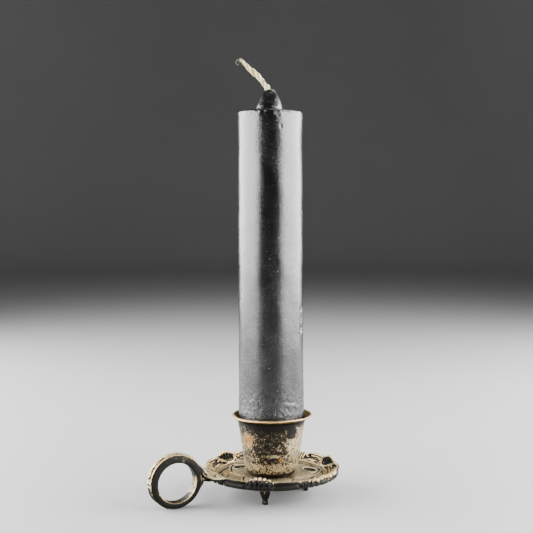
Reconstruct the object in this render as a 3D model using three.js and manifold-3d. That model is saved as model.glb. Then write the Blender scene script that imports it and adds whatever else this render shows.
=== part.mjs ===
// Chamber candlestick: a round drip pan with a cast scroll-and-shell border, three short feet,
// a flared socket cup screwed to the middle, and an upright finger ring soldered to one side.
// A pillar candle with a braided wick stands in the cup and lifts straight out.
//
// Units are millimetres, +Z is up and the feet stand on z = 0. The finger ring lies on the -X
// side. Everything is built round the axis of the cup and then moved along X as one group, so
// that the origin is the middle of the whole footprint.

import * as THREE from 'three';
import { mergeVertices } from 'three/addons/utils/BufferGeometryUtils.js';
import Module from 'manifold-3d';

const wasm = await Module();
wasm.setup();

// ---------------------------------------------------------------- driving dimensions

const fitGap = 0.3; // clearance between pieces that touch

// Feet
const footHeight = 9.6;
const footCircleRadius = 21.2;
const footTopRadius = 3.2;
const footToeRadius = 1.7;
const footFlatness = 0.75; // radial depth of a foot as a share of its width
const footCount = 3;
const footLobes = 3;
const footTurn = -7; // degrees that the feet and shells sit round from square to the handle

// Drip pan
const panRadius = 38.3;
const panThickness = 1.9;
const panWellRadius = 30; // flat part of the well
const panRise = 3.2; // height of the pan's edge above the well

// Cast border on the edge of the pan
const rimWidth = 7.6;
const rimThickness = 1.7;
const rimLap = 2.4; // how far the border hangs down over the pan's edge
const rimOverhang = 1.0; // wall of the border outside the pan's edge
const scallopCount = 12;
const scallopDepth = 0.45;
const shellRise = 2.8; // height of the three shells above the border
const shellSpread = 15; // half the angle that a shell covers, degrees
const shellFlutes = 5;

// Socket cup
const cupHeight = 35.7;
const cupSeatRadius = 9;
const cupBellyRadius = 15.4; // outside, where the rounded base ends
const cupBellyHeight = 5.2;
const cupNeckRadius = 19.4; // outside, under the lip
const cupLipRadius = 23.3;
const cupLipDrop = 5; // height of the flare under the lip
const cupLipThickness = 1.7;
const cupWall = 1.9;
const cupFloor = 2.2;

// Screw, washer and nut that hold the cup
const screwRadius = 2.2;
const screwHeadRadius = 4.4;
const screwHeadHeight = 1.8;
const screwSlotWidth = 0.9;
const screwSlotDepth = 0.8;
const screwTail = 0.8; // screw left standing below the nut
const washerRadius = 6.2;
const washerThickness = 1.0;
const nutAcrossCorners = 9.2;
const nutHeight = 3.0;

// Finger ring
const ringHoleRadius = 11.2;
const ringThickness = 3.0;
const ringWidth = 7;
const crownHeight = 2.2; // the ring is crowned along its outside, most of all at crownAngle
const crownAngle = 115;
const ringReach = 20.6; // from the edge of the border to the middle of the ring
const ringFloorGap = 0.5; // below the flat part of the band; the crown reaches a little lower
const leafLength = 6.5; // tongue of the handle that lies over the border
const leafThickness = 1.3;
const neckDepth = 3.4; // height of the neck where it meets the border
const neckWidth = 6.2;
const ringBevel = 0.5;
const neckHighAngle = 62; // where the neck leaves the ring, above and below, degrees from +X
const neckLowAngle = -22;

// Candle
const candleRadius = 19;
const candleLength = 204.9; // from the butt to the shoulder
const candleShoulder = 1.6; // rounding of the top edge
const candleButtGap = 1.2; // space between the candle's butt and the screw head
const nubRadius = 7.3;
const nubHeight = 13.3;

// Wick
const wickRadius = 1.65;
const wickOffset = 1.4; // distance of the wick from the middle of the candle
const wickTurn = 153; // direction in which the free end leans, degrees from +X
const wickTail = 1; // how far the wick stops short of the candle's butt
// Free end of the wick from the tip of the nub: [sideways, upwards].
const wickFreeEnd = [
  [0.9, 1.3],
  [2.1, 3.3],
  [3.8, 5.6],
  [5.9, 7.9],
  [8.1, 9.8],
  [10.3, 11.6],
  [12.4, 13.9],
  [15.4, 17.0],
];

// Mesh fineness
const roundSegments = 48;
const rimSegments = 96;
const smallSegments = 18;

// ---------------------------------------------------------------- derived heights and radii

const panUnder = footHeight + fitGap;
const panTop = panUnder + panThickness;
const panEdgeTop = panTop + panRise;
const rimTop = panEdgeTop + fitGap + rimThickness;
const rimOuterRadius = panRadius + fitGap + rimOverhang;
const rimInnerRadius = rimOuterRadius - rimWidth;
const cupBase = panTop + fitGap;
const cupLip = cupBase + cupHeight;
const cupInside = cupBase + cupFloor;
const screwHeadTop = cupInside + fitGap + screwHeadHeight;
const boltHoleRadius = screwRadius + fitGap;
const washerTop = panUnder - fitGap;
const nutTop = washerTop - washerThickness - fitGap;
const screwEnd = nutTop - nutHeight - screwTail;
const candleButt = screwHeadTop + candleButtGap;
const candleTop = candleButt + candleLength;
const nubTop = candleTop + nubHeight;
const ringOuterRadius = ringHoleRadius + ringThickness;
const ringX = -(rimOuterRadius + ringReach);
const ringZ = ringOuterRadius + ringFloorGap;

// ---------------------------------------------------------------- helpers

const radians = THREE.MathUtils.degToRad;
const v2 = (r, z) => new THREE.Vector2(r, z);

/** Turns a profile of [radius, height] points into a solid round the Z axis. */
function turned(profile, segments = roundSegments) {
  const geometry = new THREE.LatheGeometry(profile, segments);
  geometry.rotateX(Math.PI / 2);
  return geometry;
}

/** Moves every point of a geometry by a function of its radius, angle and height. */
function reshaped(geometry, move) {
  const position = geometry.getAttribute('position');
  for (let i = 0; i < position.count; i += 1) {
    const x = position.getX(i);
    const y = position.getY(i);
    const [r, z] = move(Math.hypot(x, y), Math.atan2(y, x), position.getZ(i));
    const angle = Math.atan2(y, x);
    position.setXYZ(i, r * Math.cos(angle), r * Math.sin(angle), z);
  }
  geometry.computeVertexNormals();
  return geometry;
}

/** Points of a smooth curve through [radius, height] knots. */
function smoothProfile(knots, count) {
  return new THREE.SplineCurve(knots.map(([r, z]) => v2(r, z))).getPoints(count);
}

/** Height-wise table of a profile: radius at a height, between its two nearest points. */
function radiusAt(profile, z) {
  const above = profile.findIndex((point) => point.y >= z);
  if (above <= 0) {
    return above === 0 ? profile[0].x : profile[profile.length - 1].x;
  }
  const [low, high] = [profile[above - 1], profile[above]];
  return THREE.MathUtils.mapLinear(z, low.y, high.y, low.x, high.x);
}

/** Converts a closed geometry into a manifold-3d solid. */
function toSolid(geometry) {
  const bare = geometry.clone();
  bare.deleteAttribute('normal');
  bare.deleteAttribute('uv');
  const merged = mergeVertices(bare, 1e-4);
  const index = Array.from(merged.getIndex().array);
  const kept = [];
  for (let i = 0; i < index.length; i += 3) {
    const [a, b, c] = index.slice(i, i + 3);
    if (a !== b && b !== c && c !== a) {
      kept.push(a, b, c);
    }
  }
  return new wasm.Manifold(new wasm.Mesh({
    numProp: 3,
    vertProperties: merged.getAttribute('position').array,
    triVerts: new Uint32Array(kept),
  }));
}

/** Converts a manifold-3d solid back into a geometry. */
function toGeometry(solid) {
  const mesh = solid.getMesh();
  const geometry = new THREE.BufferGeometry();
  geometry.setAttribute('position', new THREE.BufferAttribute(mesh.vertProperties, 3));
  geometry.setIndex(new THREE.BufferAttribute(mesh.triVerts, 1));
  geometry.computeVertexNormals();
  return geometry;
}

/** An upright cylinder between two heights. */
function upright(radius, bottom, top, segments = smallSegments) {
  const geometry = new THREE.CylinderGeometry(radius, radius, top - bottom, segments);
  geometry.rotateX(Math.PI / 2);
  geometry.translate(0, 0, (top + bottom) / 2);
  return geometry;
}

/** Angle from the middle of the nearest shell, in degrees. */
function angleFromShell(angle) {
  const step = 360 / footCount;
  const turn = THREE.MathUtils.radToDeg(angle) - footTurn;
  return turn - step * Math.round(turn / step);
}

// ---------------------------------------------------------------- materials

const finish = (color, roughness, metalness) => (
  new THREE.MeshStandardMaterial({ color, roughness, metalness })
);
const platedBrass = finish(0x8d8574, 0.45, 0.9);
const agedPlate = finish(0x7c7669, 0.5, 0.9);
const lipBrass = finish(0xb59a5e, 0.35, 0.95);
const steel = finish(0x6a6a68, 0.5, 0.9);
const wax = finish(0x1c1c1f, 0.3, 0);
const cotton = finish(0xd8cdb4, 0.9, 0);

// ---------------------------------------------------------------- drip pan and border

/** Upper face of the pan as radius and height, from the middle out to the edge. */
function panUpperFace() {
  return [
    v2(boltHoleRadius, panTop),
    v2(panWellRadius, panTop),
    v2(THREE.MathUtils.lerp(panWellRadius, panRadius, 0.45), panTop + panRise * 0.42),
    v2(THREE.MathUtils.lerp(panWellRadius, panRadius, 0.8), panTop + panRise * 0.9),
    v2(panRadius, panEdgeTop),
  ];
}

/** The pan: a shallow dish of even wall with a hole for the screw. */
function dripPan() {
  const upper = panUpperFace();
  const lower = upper.map((point) => v2(point.x, point.y - panThickness));
  return turned([...lower, ...upper.reverse(), lower[0]]);
}

/** The border: a scalloped moulding over the pan's edge, raised into a shell above each foot. */
function rimBorder() {
  const seat = panUpperFace().filter((point) => point.x > rimInnerRadius);
  const panEdge = panRadius + fitGap;
  const lapEnd = panEdgeTop - rimLap;
  const innerTop = radiusAt([...panUpperFace()].map((p) => v2(p.y, p.x)), rimInnerRadius) + fitGap;
  const profile = [
    v2(rimInnerRadius, innerTop),
    ...seat.slice(0, -1).map((point) => v2(point.x, point.y + fitGap)),
    v2(panEdge, panEdgeTop + fitGap),
    v2(panEdge, lapEnd),
    v2(rimOuterRadius - rimOverhang * 0.3, lapEnd),
    v2(rimOuterRadius, THREE.MathUtils.lerp(lapEnd, rimTop, 0.45)),
    v2(rimOuterRadius, THREE.MathUtils.lerp(lapEnd, rimTop, 0.8)),
    v2(rimOuterRadius - rimWidth * 0.16, rimTop),
    v2(rimOuterRadius - rimWidth * 0.42, rimTop - rimThickness * 0.35),
    v2(rimOuterRadius - rimWidth * 0.66, rimTop - rimThickness * 0.5),
    v2(rimOuterRadius - rimWidth * 0.88, innerTop + rimThickness * 0.6),
    v2(rimInnerRadius, innerTop),
  ];
  return reshaped(turned(profile, rimSegments), (r, angle, z) => {
    const outward = THREE.MathUtils.smoothstep(r, panEdge + fitGap, rimOuterRadius);
    const scallop = scallopDepth * (0.5 - 0.5 * Math.cos(scallopCount * (angle - radians(footTurn))));
    const away = angleFromShell(angle) / shellSpread;
    const onTop = THREE.MathUtils.smoothstep(z, rimTop - rimThickness * 0.4, rimTop);
    const swell = Math.max(0, 1 - away * away) ** 0.6;
    const flute = 0.8 + 0.2 * Math.cos(away * Math.PI * shellFlutes);
    return [r - outward * scallop, z + onTop * shellRise * swell * flute];
  });
}

// ---------------------------------------------------------------- socket cup and its fixings

/** Outside of the cup from its seat up to the lip. */
function cupOutside() {
  return smoothProfile([
    [cupSeatRadius, cupBase],
    [THREE.MathUtils.lerp(cupSeatRadius, cupBellyRadius, 0.72), cupBase + cupBellyHeight * 0.24],
    [cupBellyRadius, cupBase + cupBellyHeight],
    [THREE.MathUtils.lerp(cupBellyRadius, cupNeckRadius, 0.42), cupBase + cupHeight * 0.44],
    [cupNeckRadius, cupLip - cupLipDrop],
    [THREE.MathUtils.lerp(cupNeckRadius, cupLipRadius, 0.35), cupLip - cupLipDrop * 0.55],
    [cupLipRadius, cupLip - cupLipThickness * 0.6],
  ], 12);
}

/** Inside of the cup from its floor up to the mouth. */
function cupInsideWall() {
  const outside = cupOutside();
  return outside
    .filter((point) => point.y > cupInside + 1 && point.y < cupLip - cupLipThickness)
    .map((point) => v2(point.x - cupWall, point.y + cupWall * 0.25));
}

/** The cup, with a hole in its floor for the screw. */
function socketCup() {
  const inside = cupInsideWall();
  const mouth = v2(cupLipRadius - cupLipThickness, cupLip);
  const profile = [
    v2(boltHoleRadius, cupBase),
    ...cupOutside(),
    v2(cupLipRadius - cupLipThickness * 0.25, cupLip - cupLipThickness * 0.1),
    mouth,
    ...inside.reverse(),
    v2(inside[inside.length - 1].x - 2, cupInside),
    v2(boltHoleRadius, cupInside),
    v2(boltHoleRadius, cupBase),
  ];
  return turned(profile);
}

/** A slotted screw whose head lies on the floor of the cup. */
function socketScrew() {
  const headBottom = cupInside + fitGap;
  const screw = turned([
    v2(0, screwEnd),
    v2(screwRadius * 0.8, screwEnd),
    v2(screwRadius, screwEnd + 0.5),
    v2(screwRadius, headBottom),
    v2(screwHeadRadius, headBottom),
    v2(screwHeadRadius, headBottom + screwHeadHeight * 0.45),
    v2(screwHeadRadius * 0.7, screwHeadTop),
    v2(0, screwHeadTop),
  ], smallSegments);
  const slot = new THREE.BoxGeometry(screwHeadRadius * 3, screwSlotWidth, screwSlotDepth * 2);
  slot.translate(0, 0, screwHeadTop);
  return toGeometry(toSolid(screw).subtract(toSolid(slot)));
}

/** A flat ring under the pan. */
function socketWasher() {
  const bottom = washerTop - washerThickness;
  return turned([
    v2(boltHoleRadius, bottom),
    v2(washerRadius, bottom),
    v2(washerRadius, washerTop),
    v2(boltHoleRadius, washerTop),
    v2(boltHoleRadius, bottom),
  ], smallSegments);
}

/** A hexagon nut on the end of the screw. */
function socketNut() {
  const hexagon = upright(nutAcrossCorners / 2, nutTop - nutHeight, nutTop, 6);
  const bore = upright(boltHoleRadius, nutTop - nutHeight - 1, nutTop + 1);
  return toGeometry(toSolid(hexagon).subtract(toSolid(bore)));
}

// ---------------------------------------------------------------- feet

/** A tapered foot with three lobes and a flat toe, wider across than it is deep. */
function foot() {
  const waist = THREE.MathUtils.lerp(footToeRadius, footTopRadius, 0.3);
  const profile = [
    v2(0, 0),
    v2(footToeRadius, 0),
    v2(footToeRadius * 1.08, footHeight * 0.12),
    v2(footToeRadius * 0.9, footHeight * 0.24),
    v2(waist, footHeight * 0.5),
    v2(footTopRadius * 0.86, footHeight * 0.76),
    v2(footTopRadius, footHeight),
    v2(0, footHeight),
  ];
  const lobed = reshaped(turned(profile, smallSegments), (r, angle, z) => (
    [r * (0.9 + 0.1 * Math.cos(footLobes * angle)), z]
  ));
  return lobed.scale(footFlatness, 1, 1);
}

// ---------------------------------------------------------------- handle

/** The finger ring: a band crowned on the outside, its axis along Y. */
function fingerBand() {
  const half = ringWidth / 2;
  const flat = turned([
    v2(ringHoleRadius, ringBevel - half),
    v2(ringHoleRadius + ringBevel, -half),
    v2(ringOuterRadius - ringBevel, -half),
    v2(ringOuterRadius, ringBevel - half),
    v2(ringOuterRadius, -half * 0.4),
    v2(ringOuterRadius, half * 0.4),
    v2(ringOuterRadius, half - ringBevel),
    v2(ringOuterRadius - ringBevel, half),
    v2(ringHoleRadius + ringBevel, half),
    v2(ringHoleRadius, half - ringBevel),
    v2(ringHoleRadius, ringBevel - half),
  ]);
  const band = reshaped(flat, (r, angle, z) => {
    const outside = r > ringOuterRadius - ringBevel / 2 && Math.abs(z) < half / 2;
    const height = (0.5 + 0.5 * Math.cos(angle - radians(crownAngle))) ** 0.7;
    return [outside ? r + crownHeight * height : r, z];
  });
  band.rotateX(Math.PI / 2);
  band.translate(ringX, 0, ringZ);
  return band;
}

/** The neck and the leaf over the border, drawn in the XZ plane and given their width along Y. */
function neckAndLeaf() {
  const edge = -(rimOuterRadius + fitGap);
  const leafEnd = edge + leafLength;
  const leafUnder = rimTop + fitGap;
  const leafOver = leafUnder + leafThickness;
  const neckUnder = leafUnder - neckDepth;
  const rooted = ringOuterRadius - ringThickness / 2;
  const onRing = (degrees, radius) => (
    v2(ringX + radius * Math.cos(radians(degrees)), ringZ + radius * Math.sin(radians(degrees)))
  );
  const [high, low] = [onRing(neckHighAngle, ringOuterRadius - ringBevel), onRing(neckLowAngle, rooted)];
  const shape = new THREE.Shape();
  shape.moveTo(high.x, high.y);
  shape.absarc(ringX, ringZ, rooted, radians(neckHighAngle), radians(neckLowAngle), true);
  shape.quadraticCurveTo(low.x + 3, neckUnder - 0.8, edge, neckUnder);
  shape.lineTo(edge, leafUnder);
  shape.lineTo(leafEnd, leafUnder);
  shape.lineTo(leafEnd, leafUnder + leafThickness * 0.5);
  shape.quadraticCurveTo(edge + leafLength * 0.4, leafOver + leafThickness * 0.4, edge - 2, leafOver);
  shape.quadraticCurveTo(edge - 4.5, leafOver, high.x, high.y);
  const neck = new THREE.ExtrudeGeometry(shape, { depth: neckWidth, curveSegments: 12, bevelEnabled: false });
  neck.rotateX(Math.PI / 2);
  neck.translate(0, neckWidth / 2, 0);
  return neck;
}

/** The handle as one casting. */
function ringHandle() {
  return toGeometry(toSolid(fingerBand()).add(toSolid(neckAndLeaf())));
}

// ---------------------------------------------------------------- candle and wick

/** Point beside the candle's axis, out in the direction in which the wick leans. */
const leaning = (out, z) => (
  new THREE.Vector3(out * Math.cos(radians(wickTurn)), out * Math.sin(radians(wickTurn)), z)
);

/** The candle: its butt pared down to the cup, a plain pillar and a pointed nub, bored for the wick. */
function candle() {
  const inside = cupInsideWall();
  const buttEnd = Math.min(candleRadius, radiusAt(inside, candleButt) - fitGap);
  const pared = inside
    .filter((point) => point.y > candleButt + 1)
    .map((point) => v2(Math.min(candleRadius, point.x - fitGap), point.y));
  const profile = [
    v2(0, candleButt),
    v2(buttEnd - 1, candleButt),
    v2(buttEnd, candleButt + 1),
    ...pared,
    v2(Math.min(candleRadius, cupLipRadius - cupLipThickness - fitGap), cupLip + fitGap),
    v2(candleRadius, cupLip + 1.5 * fitGap),
    v2(candleRadius, candleTop - candleShoulder),
    v2(candleRadius - candleShoulder * 0.3, candleTop - candleShoulder * 0.3),
    v2(candleRadius - candleShoulder, candleTop),
    v2(nubRadius, candleTop),
    v2(nubRadius * 0.94, candleTop + nubHeight * 0.3),
    v2(nubRadius * 0.72, candleTop + nubHeight * 0.62),
    v2(nubRadius * 0.5, candleTop + nubHeight * 0.88),
    v2(nubRadius * 0.34, nubTop),
    v2(0, nubTop),
  ];
  const bore = upright(wickRadius + fitGap, candleButt - 1, nubTop + 1, 16);
  const off = leaning(wickOffset, 0);
  bore.translate(off.x, off.y, 0);
  return toGeometry(toSolid(turned(profile)).subtract(toSolid(bore)));
}

/** The wick: straight up through the candle, then leaning over in its own curve. */
function wick() {
  const bottom = candleButt + wickTail;
  const straight = 12;
  const points = [];
  for (let i = 0; i <= straight; i += 1) {
    points.push(leaning(wickOffset, THREE.MathUtils.lerp(bottom, nubTop, i / straight)));
  }
  wickFreeEnd.forEach(([out, up]) => points.push(leaning(wickOffset + out, nubTop + up)));
  const section = new THREE.Shape();
  section.absarc(0, 0, wickRadius, 0, 2 * Math.PI, false);
  return new THREE.ExtrudeGeometry(section, {
    steps: 50,
    curveSegments: 4,
    bevelEnabled: false,
    extrudePath: new THREE.CatmullRomCurve3(points),
  });
}

// ---------------------------------------------------------------- assembly

const holder = new THREE.Group();

/** Adds one named piece to the holder. */
function add(name, geometry, material) {
  const mesh = new THREE.Mesh(geometry, material);
  mesh.name = name;
  holder.add(mesh);
  return mesh;
}

add('drip_pan', dripPan(), platedBrass);
add('rim_border', rimBorder(), platedBrass);
add('socket_cup', socketCup(), lipBrass);
add('socket_screw', socketScrew(), steel);
add('socket_washer', socketWasher(), steel);
add('socket_nut', socketNut(), steel);
add('ring_handle', ringHandle(), agedPlate);

['foot_right', 'foot_back', 'foot_front'].forEach((name, i) => {
  const turn = radians(footTurn + (360 / footCount) * i);
  const mesh = add(name, foot(), agedPlate);
  mesh.position.set(footCircleRadius * Math.cos(turn), footCircleRadius * Math.sin(turn), 0);
  mesh.rotation.z = turn;
});

add('candle', candle(), wax);
add('wick', wick(), cotton);

const footprint = new THREE.Box3().setFromObject(holder);
holder.position.x = -(footprint.min.x + footprint.max.x) / 2;
holder.position.y = -(footprint.min.y + footprint.max.y) / 2;

const chamberstick = new THREE.Group();
chamberstick.add(holder);

export default chamberstick;
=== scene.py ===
"""Chamber candlestick in worn plated brass, with a black pillar candle and a braided wick.

Each sub-assembly is a class that models its own pieces with Blender's operators and dresses
them in its own finishes. Sizes are in millimetres where they are held as fields, and the
meshes are in metres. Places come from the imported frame.
"""
import logging
import math
from dataclasses import dataclass
from enum import Enum
from typing import Optional, Union

import bpy
import numpy as np
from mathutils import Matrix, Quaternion, Vector


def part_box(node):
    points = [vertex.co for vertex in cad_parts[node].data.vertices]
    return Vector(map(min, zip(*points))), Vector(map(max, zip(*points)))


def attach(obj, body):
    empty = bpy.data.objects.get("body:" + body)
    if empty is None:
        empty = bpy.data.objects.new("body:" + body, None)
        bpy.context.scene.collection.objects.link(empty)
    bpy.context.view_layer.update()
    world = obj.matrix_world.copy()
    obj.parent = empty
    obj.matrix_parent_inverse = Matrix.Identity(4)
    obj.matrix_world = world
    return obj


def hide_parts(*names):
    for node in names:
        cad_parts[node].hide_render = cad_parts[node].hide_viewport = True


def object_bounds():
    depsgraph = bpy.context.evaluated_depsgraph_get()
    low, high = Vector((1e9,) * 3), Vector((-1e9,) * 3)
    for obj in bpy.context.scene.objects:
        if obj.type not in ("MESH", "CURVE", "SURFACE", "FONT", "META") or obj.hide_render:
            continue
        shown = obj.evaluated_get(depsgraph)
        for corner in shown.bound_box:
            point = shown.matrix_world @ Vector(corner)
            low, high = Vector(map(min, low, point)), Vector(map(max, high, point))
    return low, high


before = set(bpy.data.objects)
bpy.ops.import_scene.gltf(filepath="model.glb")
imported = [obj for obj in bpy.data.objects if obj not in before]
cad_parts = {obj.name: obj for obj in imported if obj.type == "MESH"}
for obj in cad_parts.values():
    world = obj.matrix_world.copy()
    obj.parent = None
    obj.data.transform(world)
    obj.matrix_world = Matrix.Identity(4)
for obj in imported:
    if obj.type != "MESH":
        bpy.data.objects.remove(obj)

MM = 0.001
LOG = logging.getLogger("chamberstick")
CAD_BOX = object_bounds()

Point = tuple[float, float, float]
Outline = list[tuple[float, float]]
Strand = list[tuple[float, float, float, float]]
Colour = tuple[float, float, float]
Path = list[tuple[Point, float]]
Socket = bpy.types.NodeSocket
Value = Union[Socket, float]


class Body(Enum):
    """The rigid bodies that the pieces ride on."""

    HOLDER = "holder"
    CANDLE = "candle"


class Slot(Enum):
    """The record's material slots."""

    PLATED_BRASS = "plated_brass"
    STEEL = "steel"
    WAX = "wax"
    COTTON = "cotton"


# --------------------------------------------------------------------------- the frame's places


@dataclass(frozen=True)
class Plan:
    """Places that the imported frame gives, in millimetres."""

    axis_x: float
    axis_y: float
    pan_radius: float
    pan_under: float
    rim_radius: float
    rim_low: float
    cup_base: float
    cup_lip: float
    cup_radius: float
    ring_left: float
    candle_low: float
    candle_top: float
    candle_radius: float
    feet: tuple[tuple[float, float], ...]

    @classmethod
    def read(cls) -> "Plan":
        """Measures the frame's nodes.

        Returns:
            The plan of the candlestick.
        """
        pan_low, pan_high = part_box("drip_pan")
        rim_low, rim_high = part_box("rim_border")
        cup_low, cup_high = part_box("socket_cup")
        ring_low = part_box("ring_handle")[0]
        candle_low, candle_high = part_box("candle")
        feet = []
        for node in ("foot_right", "foot_back", "foot_front"):
            low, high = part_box(node)
            feet.append(((low.x + high.x) / 2 / MM, (low.y + high.y) / 2 / MM))
        return cls(
            axis_x=(pan_low.x + pan_high.x) / 2 / MM,
            axis_y=(pan_low.y + pan_high.y) / 2 / MM,
            pan_radius=(pan_high.x - pan_low.x) / 2 / MM,
            pan_under=pan_low.z / MM,
            rim_radius=(rim_high.x - rim_low.x) / 2 / MM,
            rim_low=rim_low.z / MM,
            cup_base=cup_low.z / MM,
            cup_lip=cup_high.z / MM,
            cup_radius=(cup_high.x - cup_low.x) / 2 / MM,
            ring_left=ring_low.x / MM,
            candle_low=candle_low.z / MM,
            candle_top=candle_high.z / MM,
            candle_radius=(candle_high.x - candle_low.x) / 2 / MM,
            feet=tuple(feet),
        )

    @property
    def foot_turn(self) -> float:
        """Direction of the right foot from the cup's axis, in degrees."""
        x, y = self.feet[0]
        return math.degrees(math.atan2(y - self.axis_y, x - self.axis_x))

    def polar(self, turn: float, radius: float, height: float) -> Point:
        """Turns a place round the cup's axis into a point.

        Args:
            turn: Direction in degrees.
            radius: Distance from the axis in millimetres.
            height: Height in millimetres.

        Returns:
            The point in metres.
        """
        angle = math.radians(turn)
        x = self.axis_x + radius * math.cos(angle)
        y = self.axis_y + radius * math.sin(angle)
        return x * MM, y * MM, height * MM


# --------------------------------------------------------------------------- the modelling bench


class Bench:
    """Short calls for the operators that every piece is made with."""

    @staticmethod
    def clear() -> None:
        """Leaves edit mode and deselects every object."""
        if bpy.context.object and bpy.context.object.mode != "OBJECT":
            bpy.ops.object.mode_set(mode="OBJECT")
        bpy.ops.object.select_all(action="DESELECT")

    @classmethod
    def pick(cls, *pieces: bpy.types.Object) -> None:
        """Selects some objects and makes the first the active one.

        Args:
            pieces: The objects.
        """
        cls.clear()
        for piece in pieces:
            piece.select_set(True)
        bpy.context.view_layer.objects.active = pieces[0]

    @classmethod
    def turn(cls, name: str, outline: Outline, centre: tuple[float, float], steps: int) -> bpy.types.Object:
        """Turns an outline into a closed solid, ring by ring, as on a lathe.

        Args:
            name: Name of the new object.
            outline: (radius, height) points in millimetres. An outline that ends where it
                begins makes a ring, and any other gets a cap at each end.
            centre: The axis in millimetres.
            steps: Number of points in each ring.

        Returns:
            The turned object, its place in its mesh.
        """
        cls.clear()
        middle = (centre[0] * MM, centre[1] * MM)
        radius, height = outline[0]
        bpy.ops.mesh.primitive_circle_add(
            vertices=steps, radius=radius * MM, fill_type="NOTHING", location=(*middle, height * MM)
        )
        piece = bpy.context.object
        piece.name = name
        bpy.ops.object.mode_set(mode="EDIT")
        for next_radius, next_height in outline[1:]:
            bpy.ops.mesh.extrude_region_move(
                TRANSFORM_OT_translate={"value": (0, 0, (next_height - height) * MM)}
            )
            scale = next_radius / radius
            if abs(scale - 1) > 1e-9:
                bpy.ops.transform.resize(
                    value=(scale, scale, 1), center_override=(*middle, next_height * MM)
                )
            radius, height = next_radius, next_height
        bpy.ops.mesh.select_all(action="SELECT")
        bpy.ops.mesh.remove_doubles(threshold=1e-6)
        bpy.ops.mesh.select_all(action="DESELECT")
        bpy.ops.mesh.select_non_manifold()
        bpy.ops.mesh.fill_holes(sides=0)
        cls.poke_large_faces(steps)
        bpy.ops.mesh.select_all(action="SELECT")
        bpy.ops.mesh.normals_make_consistent(inside=False)
        bpy.ops.object.mode_set(mode="OBJECT")
        cls.settle(piece)
        return piece

    @staticmethod
    def poke_large_faces(sides: int) -> None:
        """Gives each end cap a middle point, in edit mode.

        Args:
            sides: Number of sides of a cap.
        """
        bpy.ops.mesh.select_all(action="DESELECT")
        bpy.ops.mesh.select_mode(type="FACE")
        bpy.ops.mesh.select_face_by_sides(number=sides, type="EQUAL")
        bpy.ops.mesh.poke()
        bpy.ops.mesh.select_mode(type="VERT")

    @classmethod
    def settle(cls, piece: bpy.types.Object) -> None:
        """Puts a piece's place into its mesh and shades it smooth.

        Args:
            piece: The piece.
        """
        cls.pick(piece)
        bpy.ops.object.transform_apply(location=True, rotation=True, scale=True)
        bpy.ops.object.shade_smooth()

    @classmethod
    def ball(cls, place: Point, radius: float) -> bpy.types.Object:
        """Adds a small bead.

        Args:
            place: Its middle in metres.
            radius: Its radius in millimetres.

        Returns:
            The bead.
        """
        cls.clear()
        bpy.ops.mesh.primitive_ico_sphere_add(subdivisions=3, radius=radius * MM, location=place)
        return bpy.context.object

    @classmethod
    def strands(cls, name: str, paths: list[Path], sides: int = 3) -> bpy.types.Object:
        """Draws tapered round strands along smooth paths and makes them a mesh.

        Args:
            name: Name of the new object.
            paths: For each strand its points in metres, each with a radius in millimetres.
            sides: Bevel resolution of a strand.

        Returns:
            One mesh object that holds all the strands.
        """
        cls.clear()
        curve = bpy.data.curves.new(name, "CURVE")
        curve.dimensions = "3D"
        curve.bevel_depth = MM
        curve.bevel_resolution = sides
        curve.use_fill_caps = True
        curve.resolution_u = 6
        for path in paths:
            spline = curve.splines.new("NURBS")
            spline.points.add(len(path) - 1)
            for knot, (place, radius) in zip(spline.points, path):
                knot.co = (*place, 1)
                knot.radius = radius
            spline.order_u = min(3, len(path))
            spline.use_endpoint_u = True
        piece = bpy.data.objects.new(name, curve)
        bpy.context.scene.collection.objects.link(piece)
        cls.pick(piece)
        bpy.ops.object.convert(target="MESH")
        return bpy.context.object

    @classmethod
    def modify(cls, piece: bpy.types.Object, kind: str, **settings: object) -> None:
        """Adds a modifier with its settings and applies it.

        Args:
            piece: The piece to change.
            kind: Type of the modifier.
            settings: Values of the modifier's own fields.
        """
        cls.pick(piece)
        bpy.ops.object.modifier_add(type=kind)
        modifier = piece.modifiers[-1]
        for key, value in settings.items():
            setattr(modifier, key, value)
        bpy.ops.object.modifier_apply(modifier=modifier.name)

    @classmethod
    def fuse(
        cls, name: str, parts: list[bpy.types.Object], voxel: float, smooth: int = 2
    ) -> bpy.types.Object:
        """Runs several closed parts together into one casting.

        Args:
            name: Name of the casting.
            parts: The parts, which overlap each other.
            voxel: Fineness of the casting in millimetres.
            smooth: Rounds of smoothing.

        Returns:
            The casting.
        """
        cls.pick(*parts)
        if len(parts) > 1:
            bpy.ops.object.join()
        piece = bpy.context.object
        piece.name = name
        cls.modify(piece, "REMESH", mode="VOXEL", voxel_size=voxel * MM)
        if smooth:
            cls.modify(piece, "SMOOTH", factor=0.5, iterations=smooth)
        cls.settle(piece)
        return piece

    @classmethod
    def weather(
        cls, piece: bpy.types.Object, size: float, depth: float, where: np.ndarray | None = None
    ) -> None:
        """Roughens a surface with an even grain.

        Args:
            piece: The piece to roughen.
            size: Size of the grain in millimetres.
            depth: Height of the grain in millimetres.
            where: Share of the grain that each point takes, if not all take the whole.
        """
        grain = bpy.data.textures.new(f"{piece.name}_grain", "CLOUDS")
        grain.noise_scale = size * MM
        grain.noise_depth = 3
        settings = {"texture": grain, "texture_coords": "LOCAL", "strength": depth * MM, "mid_level": 0.5}
        if where is not None:
            group = piece.vertex_groups.new(name="grain")
            for step in range(1, 11):
                chosen = np.flatnonzero(np.round(where * 10) == step)
                group.add(chosen.tolist(), step / 10, "REPLACE")
            settings["vertex_group"] = group.name
        cls.modify(piece, "DISPLACE", **settings)
        piece.vertex_groups.clear()

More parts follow.
